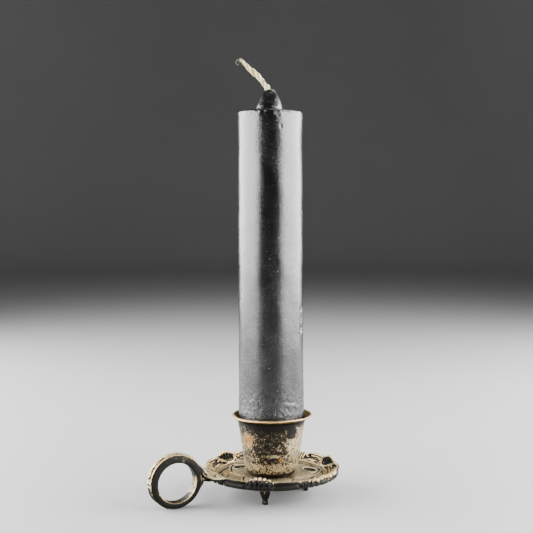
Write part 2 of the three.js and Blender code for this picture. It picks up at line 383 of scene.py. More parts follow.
    @staticmethod
    def points(piece: bpy.types.Object) -> np.ndarray:
        """Reads a mesh's points.

        Args:
            piece: The piece.

        Returns:
            An array of places in millimetres.
        """
        flat = np.empty(len(piece.data.vertices) * 3)
        piece.data.vertices.foreach_get("co", flat)
        return flat.reshape(-1, 3) / MM

    @staticmethod
    def move_points(piece: bpy.types.Object, places: np.ndarray) -> None:
        """Puts a mesh's points at new places, in millimetres."""
        piece.data.vertices.foreach_set("co", (places * MM).ravel())
        piece.data.update()

    @classmethod
    def mark_relief(cls, piece: bpy.types.Object, depth: float, rounds: int) -> None:
        """Stores how far each point stands above or below the surface round it.

        The attribute "relief" is 0.5 on even ground, towards 1 on ridges and towards 0 in
        hollows. The finishes show worn plate on the ridges and darken the hollows with it.

        Args:
            piece: The piece to mark.
            depth: Height in millimetres that counts as a full ridge or hollow.
            rounds: How widely the surface is averaged.
        """
        mesh = piece.data
        places = cls.points(piece)
        normals = np.empty(places.size)
        mesh.vertices.foreach_get("normal", normals)
        edges = np.empty(len(mesh.edges) * 2, dtype=np.int64)
        mesh.edges.foreach_get("vertices", edges)
        one, other = edges.reshape(-1, 2).T
        count = len(places)
        valence = np.maximum(np.bincount(one, minlength=count) + np.bincount(other, minlength=count), 1)
        level = places.copy()
        for _ in range(rounds):
            for k in range(3):
                total = np.bincount(one, level[other, k], count) + np.bincount(other, level[one, k], count)
                level[:, k] = 0.5 * level[:, k] + 0.5 * total / valence
        height = ((places - level) * normals.reshape(-1, 3)).sum(axis=1)
        marks = mesh.attributes.new("relief", "FLOAT", "POINT")
        marks.data.foreach_set("value", np.clip(0.5 + height / (2 * depth), 0, 1))


# --------------------------------------------------------------------------- finishes


class Shade:
    """A material's node tree, with short calls for the nodes that the finishes use."""

    def __init__(self, name: str) -> None:
        """Starts a material with a plain principled shader.

        Args:
            name: Name of the material.
        """
        self.material = bpy.data.materials.new(name)
        self.material.use_nodes = True
        self.nodes = self.material.node_tree.nodes
        self.links = self.material.node_tree.links
        self.shader = self.nodes["Principled BSDF"]
        self.place = self.nodes.new("ShaderNodeTexCoord").outputs["Object"]

    def _feed(self, socket: Socket, value: Union[Value, Colour]) -> None:
        """Links a socket to a socket, or sets it to a constant.

        Args:
            socket: The input.
            value: Another node's output, a number or a colour.
        """
        if isinstance(value, bpy.types.NodeSocket):
            self.links.new(value, socket)
        elif isinstance(value, tuple) and len(value) == 3 and socket.type == "RGBA":
            socket.default_value = (*value, 1)
        else:
            socket.default_value = value

    def moved(self, scale: Point, centre: Point = (0, 0, 0)) -> Socket:
        """Stretches the Object coordinates about a centre.

        Args:
            scale: Factor along each axis.
            centre: Point in metres that goes to the origin.

        Returns:
            The stretched coordinates.
        """
        node = self.nodes.new("ShaderNodeMapping")
        node.inputs["Scale"].default_value = scale
        node.inputs["Location"].default_value = tuple(-c * s for c, s in zip(centre, scale))
        self.links.new(self.place, node.inputs["Vector"])
        return node.outputs["Vector"]

    def warped(self, reach: float) -> Socket:
        """Pushes the Object coordinates about with noise.

        Args:
            reach: Average push along each axis, in metres.

        Returns:
            The pushed coordinates.
        """
        node = self.nodes.new("ShaderNodeTexNoise")
        node.inputs["Scale"].default_value = 600
        self.links.new(self.place, node.inputs["Vector"])
        push = self.nodes.new("ShaderNodeVectorMath")
        push.operation = "MULTIPLY_ADD"
        self.links.new(node.outputs["Color"], push.inputs[0])
        push.inputs[1].default_value = (reach * 2,) * 3
        self.links.new(self.place, push.inputs[2])
        return push.outputs["Vector"]

    def noise(
        self, scale: float, detail: float = 4, roughness: float = 0.55, distortion: float = 0,
        vector: Optional[Socket] = None,
    ) -> Socket:
        """Makes cloud noise.

        Args:
            scale: Lumps per metre.
            detail: Number of finer layers.
            roughness: Strength of the finer layers.
            distortion: How much the noise is warped.
            vector: Coordinates to read it at, if not the Object ones.

        Returns:
            The noise.
        """
        node = self.nodes.new("ShaderNodeTexNoise")
        node.inputs["Scale"].default_value = scale
        node.inputs["Detail"].default_value = detail
        node.inputs["Roughness"].default_value = roughness
        node.inputs["Distortion"].default_value = distortion
        self.links.new(vector or self.place, node.inputs["Vector"])
        return node.outputs["Fac"]

    def cells(self, scale: float, feature: str = "F1", vector: Optional[Socket] = None) -> Socket:
        """Scatters points and measures from them.

        Args:
            scale: Points per metre.
            feature: What is measured.
            vector: Coordinates to read it at, if not the Object ones.

        Returns:
            The distance.
        """
        node = self.nodes.new("ShaderNodeTexVoronoi")
        node.feature = feature
        node.inputs["Scale"].default_value = scale
        self.links.new(vector or self.place, node.inputs["Vector"])
        return node.outputs["Distance"]

    def band(self, value: Value, low: float, high: float, to_low: float = 0, to_high: float = 1) -> Socket:
        """Eases a value from one level to another between two limits.

        Args:
            value: The value.
            low: Lower limit.
            high: Upper limit.
            to_low: Level at the lower limit.
            to_high: Level at the upper limit.

        Returns:
            The eased value.
        """
        node = self.nodes.new("ShaderNodeMapRange")
        node.interpolation_type = "SMOOTHSTEP"
        self._feed(node.inputs["Value"], value)
        node.inputs["From Min"].default_value = low
        node.inputs["From Max"].default_value = high
        node.inputs["To Min"].default_value = to_low
        node.inputs["To Max"].default_value = to_high
        return node.outputs["Result"]

    def maths(self, operation: str, one: Value, other: Value = 0.0) -> Socket:
        """Does a sum on two values, clamped to 0 to 1 where it adds, subtracts or multiplies.

        Args:
            operation: Name of the sum.
            one: First value.
            other: Second value.

        Returns:
            The result.
        """
        node = self.nodes.new("ShaderNodeMath")
        node.operation = operation
        node.use_clamp = operation in ("ADD", "MULTIPLY", "SUBTRACT")
        self._feed(node.inputs[0], one)
        self._feed(node.inputs[1], other)
        return node.outputs["Value"]

    def mix(self, factor: Value, one: Union[Socket, Colour], other: Union[Socket, Colour]) -> Socket:
        """Blends one colour into another.

        Args:
            factor: Share of the second colour.
            one: First colour.
            other: Second colour.

        Returns:
            The blended colour.
        """
        node = self.nodes.new("ShaderNodeMix")
        node.data_type = "RGBA"
        self._feed(node.inputs[0], factor)
        self._feed(node.inputs[6], one)
        self._feed(node.inputs[7], other)
        return node.outputs[2]

    def mark(self, name: str) -> Socket:
        """Reads a value stored on the piece's points.

        Args:
            name: Name of the attribute.

        Returns:
            The value.
        """
        node = self.nodes.new("ShaderNodeAttribute")
        node.attribute_name = name
        return node.outputs["Fac"]

    def blend(self, shares: list[tuple[Socket, float]]) -> Socket:
        """Adds values up by weight.

        Args:
            shares: Each value with its weight.

        Returns:
            The weighted sum.
        """
        total = None
        for value, weight in shares:
            node = self.nodes.new("ShaderNodeMath")
            node.operation = "MULTIPLY_ADD"
            self.links.new(value, node.inputs[0])
            node.inputs[1].default_value = weight
            if total is None:
                node.inputs[2].default_value = 0
            else:
                self.links.new(total, node.inputs[2])
            total = node.outputs["Value"]
        return total

    def ramp(self, value: Socket, stops: list[tuple[float, Colour]]) -> Socket:
        """Reads a colour from a scale of colours.

        Args:
            value: Place on the scale.
            stops: Places on the scale with their colours.

        Returns:
            The colour.
        """
        node = self.nodes.new("ShaderNodeValToRGB")
        scale = node.color_ramp
        while len(scale.elements) < len(stops):
            scale.elements.new(0.5)
        for element, (at, colour) in zip(scale.elements, stops):
            element.position = at
            element.color = (*colour, 1)
        self.links.new(value, node.inputs["Fac"])
        return node.outputs["Color"]

    def _normal(self, axis: str) -> Socket:
        """Reads one part of the surface's direction.

        Args:
            axis: Name of the axis.

        Returns:
            The part along that axis.
        """
        node = self.nodes.new("ShaderNodeNewGeometry")
        split = self.nodes.new("ShaderNodeSeparateXYZ")
        self.links.new(node.outputs["Normal"], split.inputs["Vector"])
        return split.outputs[axis]

    def facing_under(self) -> Socket:
        """Returns 1 where the surface faces down."""
        return self.band(self._normal("Z"), -0.6, -0.05, 1, 0)

    def facing_sideways(self) -> Socket:
        """Returns 1 where the surface faces along Y."""
        return self.band(self.maths("ABSOLUTE", self._normal("Y")), 0.7, 0.95)

    def facing_out(self, centre: Point) -> Socket:
        """Compares the surface's direction with an upright axis.

        Args:
            centre: A point of the axis in metres.

        Returns:
            1 where the surface faces away from the axis, -1 where it faces it.
        """
        away = self.nodes.new("ShaderNodeVectorMath")
        away.operation = "NORMALIZE"
        self.links.new(self.moved((1, 1, 0), centre), away.inputs[0])
        node = self.nodes.new("ShaderNodeNewGeometry")
        dot = self.nodes.new("ShaderNodeVectorMath")
        dot.operation = "DOT_PRODUCT"
        self.links.new(away.outputs["Vector"], dot.inputs[0])
        self.links.new(node.outputs["Normal"], dot.inputs[1])
        return dot.outputs["Value"]

    def height(self) -> Socket:
        """Reads the height above the table.

        Returns:
            The height in metres.
        """
        split = self.nodes.new("ShaderNodeSeparateXYZ")
        self.links.new(self.place, split.inputs["Vector"])
        return split.outputs["Z"]

    def spot(self, centre: Point, size: Point, ragged: float = 0.5) -> Socket:
        """Makes a spot with a soft ragged edge.

        Args:
            centre: Middle of the spot in metres.
            size: Its half widths in metres.
            ragged: How ragged its edge is.

        Returns:
            1 in the middle, 0 outside.
        """
        vector = self.moved(tuple(1 / s for s in size), centre)
        length = self.nodes.new("ShaderNodeVectorMath")
        length.operation = "LENGTH"
        self.links.new(vector, length.inputs[0])
        edge = self.noise(420, 5, 0.65)
        shifted = self.nodes.new("ShaderNodeMath")
        shifted.operation = "MULTIPLY_ADD"
        self.links.new(edge, shifted.inputs[0])
        shifted.inputs[1].default_value = ragged * 2
        self.links.new(length.outputs["Value"], shifted.inputs[2])
        return self.band(shifted.outputs["Value"], 0.7 + ragged, 1.1 + ragged, 1, 0)

    def bump(
        self, height: Socket, strength: float, distance: float, under: Optional[Socket] = None
    ) -> Socket:
        """Raises the surface by a height.

        Args:
            height: The height.
            strength: Strength of the bump.
            distance: Full height in metres.
            under: A bump that this one lies over.

        Returns:
            The surface's new direction.
        """
        node = self.nodes.new("ShaderNodeBump")
        node.inputs["Strength"].default_value = strength
        node.inputs["Distance"].default_value = distance
        self.links.new(height, node.inputs["Height"])
        if under is not None:
            self.links.new(under, node.inputs["Normal"])
        return node.outputs["Normal"]

    def set(self, name: str, value: Union[Value, Colour]) -> None:
        """Sets or links one of the shader's own sockets."""
        self._feed(self.shader.inputs[name], value)


@dataclass(frozen=True)
class Spot:
    """A place on a piece that is made darker or paler: worn plate and patina, and at some places painted
    shade or painted highlights.

    A negative shift makes the place darker, and a positive one paler. A colour covers it.
    """

    centre: Point
    size: Point
    shift: float = 0.0
    colour: Colour | None = None


@dataclass(frozen=True)
class PlatedBrass:
    """Worn silver plate over brass: pale flaking ridges and black tarnish in the hollows."""

    name: str
    tone: float = 0.0
    relief_weight: float = 0.45
    tarnish: Colour = (0.008, 0.007, 0.005)
    brown: Colour = (0.044, 0.034, 0.021)
    plate: Colour = (0.19, 0.155, 0.098)
    cream: Colour = (0.47, 0.395, 0.255)
    brass: Colour = (0.62, 0.41, 0.16)
    brass_share: float = 0.4
    pit_depth: float = 0.16
    crackle_depth: float = 0.0
    # painted_under_shade: painted shade on every face that turns down.
    painted_under_shade: float = 0.6
    # painted_side_shade: painted shade on faces that turn along Y, the ring's flat sides.
    painted_side_shade: float = 0.0
    # painted_inner_shade: painted shade on faces that turn towards the axis.
    painted_inner_shade: float = 0.0
    # skirt_patina_and_shade: patina and painted shade on outward faces below skirt_height.
    skirt_patina_and_shade: float = 0.0
    skirt_height: float = 0.0
    centre: Point = (0.0, 0.0, 0.0)
    spots: tuple[Spot, ...] = ()

    def make(self) -> bpy.types.Material:
        """Builds the material.

        Returns:
            The finished material.
        """
        shade = Shade(self.name)
        relief = shade.mark("relief")
        broad = shade.noise(140, 4, 0.6)
        middle = shade.noise(640, 6, 0.68, 0.5)
        fine = shade.noise(2300, 4, 0.7)
        # wear_and_shade: the plate's wear and patina, to which the painted shade and painted highlights
        # below are added.
        wear_and_shade = shade.blend([(broad, 0.24), (middle, 0.46), (fine, 0.36), (relief, self.relief_weight)])
        pits = shade.band(shade.noise(1250, 3, 0.65, 0.6), 0.38, 0.46, 1, 0)
        crackle = shade.band(shade.cells(700, "DISTANCE_TO_EDGE", shade.warped(0.0007)), 0.0, 0.14, 1, 0)
        # Painted shade on faces that turn down; the pits and the crackle are the plate's own.
        wear_and_shade = shade.blend([
            (wear_and_shade, 1.0), (shade.facing_under(), -self.painted_under_shade), (pits, -self.pit_depth),
            (shade.maths("MULTIPLY", crackle, shade.band(broad, 0.42, 0.56)), -self.crackle_depth),
        ])
        # Painted shade on the faces that turn along Y.
        if self.painted_side_shade:
            wear_and_shade = shade.blend([(wear_and_shade, 1.0), (shade.facing_sideways(), -self.painted_side_shade)])
        # Painted shade on faces that turn towards the axis, inside the cup.
        if self.painted_inner_shade:
            inner = shade.band(shade.facing_out(self.centre), -0.5, -0.1, 1, 0)
            wear_and_shade = shade.blend([(wear_and_shade, 1.0), (inner, -self.painted_inner_shade)])
        # Outward faces low down are darkened, partly as patina and partly as painted shade.
        if self.skirt_patina_and_shade:
            outer = shade.band(shade.facing_out(self.centre), 0.35, 0.75)
            low = shade.band(shade.height(), self.skirt_height, self.skirt_height + 0.0022, 1, 0)
            wear_and_shade = shade.blend([(wear_and_shade, 1.0), (shade.maths("MULTIPLY", outer, low), -self.skirt_patina_and_shade)])
        # Spots add wear and patina, and at some places painted shade or painted highlights.
        for spot in self.spots:
            wear_and_shade = shade.blend([(wear_and_shade, 1.0), (shade.spot(spot.centre, spot.size), spot.shift)])
        level = 0.53 + 0.5 * self.relief_weight - self.tone
        colour = shade.ramp(wear_and_shade, [
            (level - 0.12, self.tarnish), (level - 0.055, self.brown), (level, self.plate),
            (level + 0.055, self.cream), (level + 0.2, self.cream),
        ])
        ridge = shade.band(relief, 0.6, 0.8)
        bare = shade.maths("MULTIPLY", ridge, shade.band(broad, 0.62 - self.brass_share * 0.4, 0.7))
        bare = shade.maths("MULTIPLY", bare, shade.band(wear_and_shade, level - 0.08, level + 0.02))
        colour = shade.mix(bare, colour, self.brass)
        for spot in self.spots:
            if spot.colour:
                ragged = shade.blend(
                    [(shade.spot(spot.centre, spot.size), 0.6), (middle, 0.9), (fine, 0.7), (pits, -0.4)]
                )
                colour = shade.mix(shade.band(ragged, 1.24, 1.48, 0, 0.85), colour, spot.colour)
        shade.set("Base Color", colour)
        shade.set("Metallic", shade.band(wear_and_shade, level - 0.12, level + 0.12, 0.35, 0.85))
        shade.set("Roughness", shade.band(fine, 0.3, 0.7, 0.30, 0.58))
        shade.set("Specular IOR Level", 0.3)
        coarse = shade.bump(middle, 0.7, 0.0006)
        shade.set("Normal", shade.bump(fine, 0.6, 0.00026, coarse))
        return shade.material


@dataclass(frozen=True)
class DarkSteel:
    """Dull steel of the hidden fasteners, browned with age."""

    name: str = "dark_steel"

    def make(self) -> bpy.types.Material:
        """Builds the material.

        Returns:
            The finished material.
        """
        shade = Shade(self.name)
        rust = shade.band(shade.noise(300, 6, 0.65), 0.45, 0.62)
        shade.set("Base Color", shade.mix(rust, (0.22, 0.21, 0.2), (0.09, 0.045, 0.025)))
        shade.set("Metallic", shade.band(rust, 0, 1, 0.95, 0.4))
        shade.set("Roughness", shade.band(shade.noise(900, 4, 0.6), 0.3, 0.7, 0.35, 0.6))
        shade.set("Normal", shade.bump(shade.noise(1200, 5, 0.7), 0.3, 0.0001))
        return shade.material


@dataclass(frozen=True)
class BlackWax:
    """Black candle wax: faint streaks down its length, dust, scratches, and a bloom near the butt."""

    name: str = "black_wax"
    wax: Colour = (0.0032, 0.0034, 0.0044)
    haze: Colour = (0.010, 0.010, 0.011)
    dust: Colour = (0.20, 0.20, 0.20)
    bloom_top: float = 0.068

    def make(self) -> bpy.types.Material:
        """Builds the material.

        Returns:
            The finished material.
        """
        shade = Shade(self.name)
        streak = shade.noise(1, 5, 0.6, 0, shade.moved((700, 700, 16)))
        scratch = shade.noise(1, 3, 0.5, 0, shade.moved((3200, 3200, 130)))
        cloud = shade.noise(60, 5, 0.6)
        mottle = shade.noise(1300, 5, 0.7, 0.3)
        low = shade.band(shade.height(), self.bloom_top - 0.020, self.bloom_top, 1, 0)
        bloom = shade.maths("MULTIPLY", low, shade.band(mottle, 0.44, 0.60))
        specks = shade.maths(
            "MULTIPLY", shade.band(shade.cells(520), 0.10, 0.17, 1, 0), shade.band(cloud, 0.46, 0.56)
        )
        crumbs = shade.maths("MULTIPLY", shade.band(shade.cells(190), 0.035, 0.055, 1, 0), 0.9)
        drag = shade.maths("MULTIPLY", shade.band(scratch, 0.66, 0.72), 0.22)
        colour = shade.mix(shade.band(cloud, 0.4, 0.65), self.wax, self.haze)
        colour = shade.mix(shade.maths("MULTIPLY", bloom, 0.15), colour, (0.06, 0.06, 0.056))
        colour = shade.mix(shade.maths("MULTIPLY", specks, 0.42), colour, self.dust)
        colour = shade.mix(drag, colour, (0.08, 0.08, 0.08))
        colour = shade.mix(crumbs, colour, (0.36, 0.36, 0.34))
        shade.set("Base Color", colour)
        shade.set(
            "Roughness",
            shade.band(shade.blend([(mottle, 0.7), (cloud, 0.4), (bloom, 0.1)]), 0.35, 0.9, 0.15, 0.42)
        )
        shade.set("Specular IOR Level", 0.9)
        drawn = shade.bump(streak, 0.20, 0.0003)
        drawn = shade.bump(scratch, 0.22, 0.0001, drawn)
        drawn = shade.bump(mottle, 0.5, 0.0002, drawn)
        shade.set("Normal", shade.bump(shade.maths("MULTIPLY", low, mottle), 0.35, 0.0004, drawn))
        return shade.material


@dataclass(frozen=True)
class BraidedCotton:
    """Cotton yarn, stained with wax."""

    name: str
    yarn: Colour = (0.80, 0.76, 0.56)
    stain: Colour = (0.60, 0.46, 0.19)
    shadow: Colour = (0.22, 0.18, 0.10)
    lint: Colour = (0.86, 0.83, 0.72)

    def make(self) -> bpy.types.Material:
        """Builds the material.

        Returns:
            The finished material.
        """
        shade = Shade(self.name)
        relief = shade.mark("relief")
        fibre = shade.noise(4200, 5, 0.75, 0.4)
        stain = shade.band(shade.noise(190, 4), 0.48, 0.54)
        colour = shade.mix(shade.maths("MULTIPLY", stain, 0.8), self.yarn, self.stain)
        colour = shade.mix(shade.band(relief, 0.1, 0.7, 0.9, 0), colour, self.shadow)
        colour = shade.mix(shade.band(fibre, 0.56, 0.72, 0, 0.6), colour, self.lint)
        shade.set("Base Color", colour)
        shade.set("Roughness", shade.band(fibre, 0.3, 0.7, 0.75, 0.95))
        shade.set("Normal", shade.bump(fibre, 0.6, 0.0002))
        return shade.material


def finish_piece(
    piece: bpy.types.Object, material: bpy.types.Material, body: Body, slot: Slot, *nodes: str
) -> None:
    """Levels a piece to the frame's box, dresses it, puts it on its body and reports it.

    Args:
        piece: The finished piece.
        material: What it is made of.
        body: The body that carries it.
        slot: The record's material slot; not used.
        nodes: The frame's nodes that it stands for.
    """
    low, high = (np.array(corner) / MM for corner in CAD_BOX)
    places = Bench.points(piece)
    level = np.clip(places, low, high)
    proud = float(np.abs(level - places).max())
    Bench.move_points(piece, level)
    piece.data.materials.clear()
    piece.data.materials.append(material)
    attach(piece, body.value)
    if nodes:
        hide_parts(*nodes)
    LOG.info(
        "%s: %d faces on %s, levelled by %.2f mm", piece.name, len(piece.data.polygons), body.value,
        proud
    )


# --------------------------------------------------------------------------- drip pan


@dataclass
class DripPan:
    """The dished pan, chased with three pointed petals and dimpled over each foot."""

    plan: Plan
    thickness: float = 1.9
    bore: float = 2.5
    well_radius: float = 30.0
    edge_rise: float = 3.2
    seat_bead: float = 10.6
    petal_root: float = 16.5
    petal_tip: float = 31.0
    dimple_radius: float = 24.4
    dimple_depth: float = 1.25
    pit_turn: float = 36.0
    pit_radius: float = 24.8
    steps: int = 520

    def upper_height(self, radius: float) -> float:
        """Measures the pan's upper face before it is chased.

        Args:
            radius: Distance from the axis in millimetres.

        Returns:
            Height in millimetres.
        """
        top = self.plan.pan_under + self.thickness
        span = self.plan.pan_radius - self.well_radius
        knots = [
            0, self.well_radius, self.well_radius + 0.45 * span, self.well_radius + 0.8 * span,
            self.plan.pan_radius
        ]
        rises = [0, 0, 0.42 * self.edge_rise, 0.9 * self.edge_rise, self.edge_rise]
        return top + float(np.interp(radius, knots, rises))

    def outline(self) -> Outline:
        """Draws the pan's wall.

        Returns:
            The closed outline.
        """
        fine = np.linspace(self.bore, self.plan.pan_radius, 112)
        coarse = np.linspace(self.plan.pan_radius, self.bore, 36)
        over = [(r, self.upper_height(r)) for r in fine]
        below = [(r, self.upper_height(r) - self.thickness) for r in coarse]
        return over + below + [over[0]]

    def petal_line(self, radius: np.ndarray) -> np.ndarray:
        """Returns the half angle of a petal at each radius, in degrees."""
        share = np.clip((self.petal_tip - radius) / (self.petal_tip - self.petal_root), 0, 1)
        return 60 * share**1.15

    def chasing(self, radius: np.ndarray, turn: np.ndarray) -> np.ndarray:
        """Returns the height of the chased relief.

        Args:
            radius: Distance from the axis in millimetres.
            turn: Angle from the nearest foot in degrees.

        Returns:
            Height above the plain pan in millimetres.
        """
        arc = np.radians(1) * radius
        line = self.petal_line(radius)
        slope = np.gradient(self.petal_line(np.linspace(2, 40, 400)), 38 / 399)
        lean = np.interp(radius, np.linspace(2, 40, 400), slope) * arc
        across = (np.abs(turn) - line) * arc / np.sqrt(1 + lean**2)
        reach = (radius > self.petal_root) & (radius < self.petal_tip + 1)
        seam = (60 - np.abs(turn)) * arc
        inner = (radius > self.seat_bead) & (radius <= self.petal_root)
        away = np.where(reach, across, np.where(inner, -seam, 9))
        height = -0.42 * np.exp(-((away / 0.38) ** 2))
        height += 0.28 * np.exp(-(((away - 0.95) / 0.5) ** 2)) * reach
        height += 0.5 * (1 - np.exp(-((np.minimum(away, 0) / 2.2) ** 2)))
        height += 0.45 * np.exp(-(((radius - self.seat_bead) / 0.55) ** 2))
        side = turn * arc
        along = radius - self.dimple_radius
        bowl = np.sqrt((along / 3.5) ** 2 + (side / 5.0) ** 2)
        flute = np.cos(np.degrees(np.arctan2(side, along + 4.5)) * math.pi / 13)
        height -= self.dimple_depth * np.clip(1.15 - bowl**2, 0, 1) * (0.85 + 0.15 * flute)
        height += 0.4 * np.exp(-(((bowl - 1.15) / 0.13) ** 2))
        vein = np.exp(-((side / 0.3) ** 2)) + np.exp(-(((np.abs(side) - 3.2) / 0.3) ** 2))
        height -= 0.22 * vein * np.exp(-(((radius - 15.5) / 3.0) ** 2))
        pit_side = (np.abs(turn) - self.pit_turn) * arc
        pit = np.sqrt(((radius - self.pit_radius) / 1.7) ** 2 + (pit_side / 1.3) ** 2)
        height -= 0.9 * np.clip(1.1 - pit**2, 0, 1)
        lobe = np.sqrt(((radius - 28.2) / 1.9) ** 2 + ((np.abs(turn) - 44) * arc / 3.6) ** 2)
        height += 0.45 * np.exp(-(((lobe - 1) / 0.28) ** 2))
        return height

    def build(self) -> bpy.types.Object:
        """Models the pan.

        Returns:
            The pan with its relief marked.
        """
        centre = (self.plan.axis_x, self.plan.axis_y)
        pan = Bench.turn("pan", self.outline(), centre, self.steps)
        places = Bench.points(pan)
        x, y = places[:, 0] - centre[0], places[:, 1] - centre[1]
        radius = np.hypot(x, y)
        turn = (np.degrees(np.arctan2(y, x)) - self.plan.foot_turn + 60) % 120 - 60
        level = np.array([self.upper_height(r) for r in radius])
        on_top = np.clip((places[:, 2] - level + self.thickness) / self.thickness, 0, 1)
        fade = np.clip(
            (self.plan.pan_radius - 5.5 - radius) / 1.5, 0, 1
        ) * np.clip((radius - 9.2) / 0.8, 0, 1)
        places[:, 2] += self.chasing(radius, turn) * fade * (0.45 + 0.55 * on_top)
        Bench.move_points(pan, places)
        Bench.weather(pan, 1.1, 0.16)
        Bench.mark_relief(pan, 0.22, 24)
        return pan


# --------------------------------------------------------------------------- border


@dataclass
class RimBorder:
    """The cast border: shells over the feet, C-scrolls, knots and cartouches between them.

    Heights in the pattern are above the edge of the pan.
    """

    plan: Plan
    width: float = 7.6
    voxel: float = 0.31

    def outline(self, pan: DripPan) -> Outline:
        """Draws the plain band under the ornament.

        Args:
            pan: The pan that it lies on.

        Returns:
            The closed outline.
        """
        outer = self.plan.rim_radius
        inner = outer - self.width
        edge = self.plan.pan_radius + 0.3
        top, low = pan.upper_height(self.plan.pan_radius), pan.upper_height(inner)
        seat = [(r, pan.upper_height(r) + 0.3) for r in np.linspace(inner, self.plan.pan_radius, 5)]
        return [
            *seat,
            (edge, top + 0.3),
            (edge, self.plan.rim_low),
            (outer - 0.5, self.plan.rim_low),
            (outer - 0.15, top - 1.2),
            (outer - 0.4, top + 0.1),
            (outer - 1.4, top + 0.75),
            (outer - 3.0, top + 0.2),
            (outer - 5.0, top - 0.75),
            (outer - 6.6, low + 0.75),
            (inner + 0.35, low + 1.15),
            (inner - 0.1, low + 0.8),
            seat[0],
        ]

    def half_pattern(self) -> list[Strand]:
        """Draws the strands on one side of a shell.

        Returns:
            Each strand as (turn, radius, height, thickness) points.
        """
        knot = [
            [
                (t, 33.6, -1.0, 0.45), (t, 36.0, 0.8, 0.7), (t, 38.2, 1.5, 0.85), (t, 39.0, 0.2, 0.75),
                (t, 39.0, -1.2, 0.5)
            ]
            for t in (35.3, 37.9, 40.5)
        ]
        collar = [
            (10.6, 34.0, -0.6, 0.5), (10.6, 36.5, 1.3, 0.7), (10.5, 38.4, 1.9, 0.8),
            (10.4, 39.0, 0.4, 0.6)
        ]
        return [
            collar,
            [
                (16.2, 35.7, 0.3, 0.42), (14.0, 35.2, 0.4, 0.55), (12.3, 36.4, 1.0, 0.66),
                (13.2, 38.0, 1.5, 0.78), (17.4, 38.8, 1.6, 0.85), (22.3, 39.0, 1.6, 0.9),
                (27.6, 38.8, 1.6, 0.85), (31.6, 38.0, 1.5, 0.78), (32.6, 36.4, 1.0, 0.66),
                (31.0, 35.2, 0.4, 0.55), (28.8, 35.7, 0.3, 0.42),
            ],
            [(16.0, 34.2, -0.7, 0.42), (22.3, 33.7, -0.8, 0.6), (28.6, 34.2, -0.7, 0.42)],
            [(16.5, 37.0, 0.8, 0.3), (22.3, 37.2, 1.0, 0.42), (28.1, 37.0, 0.8, 0.3)],
            *knot,
            [
                (45.2, 35.4, 0.1, 0.5), (44.9, 37.2, 1.0, 1.0), (44.8, 38.4, 1.1, 1.2),
                (44.8, 38.8, 0.0, 0.9)
            ],
            [
                (51.0, 35.4, 0.1, 0.5), (51.0, 37.2, 1.0, 1.0), (51.0, 38.4, 1.1, 1.2),
                (51.0, 38.8, 0.0, 0.9)
            ],
            [
                (43.0, 34.4, -0.4, 0.45), (46.5, 33.6, -0.7, 0.55), (51.0, 33.4, -0.7, 0.58),
                (55.0, 34.1, -0.4, 0.55), (56.4, 35.8, 0.4, 0.5), (54.2, 36.3, 0.6, 0.38),
            ],
            [
                (57.4, 34.8, -0.2, 0.4), (57.0, 36.9, 1.2, 0.75), (56.6, 38.4, 1.9, 0.85),
                (56.6, 38.9, 0.6, 0.6)
            ],
        ]

    def shell(self) -> list[Strand]:
        """Draws one shell.

        Returns:
            Its flutes and the edge of its hollow.
        """
        ribs = []
        for turn in (-7.6, -3.8, 0.0, 3.8, 7.6):
            drop = 0.020 * turn * turn
            ribs.append([
                (turn * 0.55, 33.4, -1.2, 0.5), (turn * 0.7, 35.4, -0.5, 0.6),
                (turn * 0.88, 37.0, 1.0, 0.75),
                (turn, 37.9, 3.0 - drop, 1.0), (turn, 37.7, 4.0 - drop, 0.95),
                (turn, 36.9, 4.3 - drop, 0.7),
            ])
            ribs.append([
                (turn, 37.9, 3.2 - drop, 0.95), (turn, 38.7, 2.0 - drop, 0.95), (turn, 39.0, 0.2, 0.8),
                (turn * 0.9, 38.9, -1.4, 0.5),
            ])
        lip = [
            (-10.0, 37.6, 1.6, 0.55), (-9.6, 35.4, 0.5, 0.6), (-6.6, 33.2, -0.8, 0.55),
            (0.0, 32.3, -1.2, 0.55), (6.6, 33.2, -0.8, 0.55), (9.6, 35.4, 0.5, 0.6),
            (10.0, 37.6, 1.6, 0.55),
        ]
        return [*ribs, lip]

    def ornament(self, edge: float) -> list[Path]:
        """Places every strand three times round and on both sides of each shell.

        Args:
            edge: Height of the pan's edge in millimetres.

        Returns:
            The strands' points in metres with their radii in millimetres.
        """
        palmette = [
            (60.0, 34.2, -0.5, 0.5), (60.0, 36.7, 1.3, 0.9), (60.0, 38.3, 2.3, 1.0),
            (60.0, 38.9, 0.8, 0.7)
        ]
        paths = []
        for shell in range(3):
            start = self.plan.foot_turn + 120 * shell
            sides = [(1, strand) for strand in [*self.shell(), palmette, *self.half_pattern()]]
            sides += [(-1, strand) for strand in self.half_pattern()]
            for sign, strand in sides:
                paths.append([(self.plan.polar(start + sign * t, r, edge + z), w) for t, r, z, w in strand])
        return paths

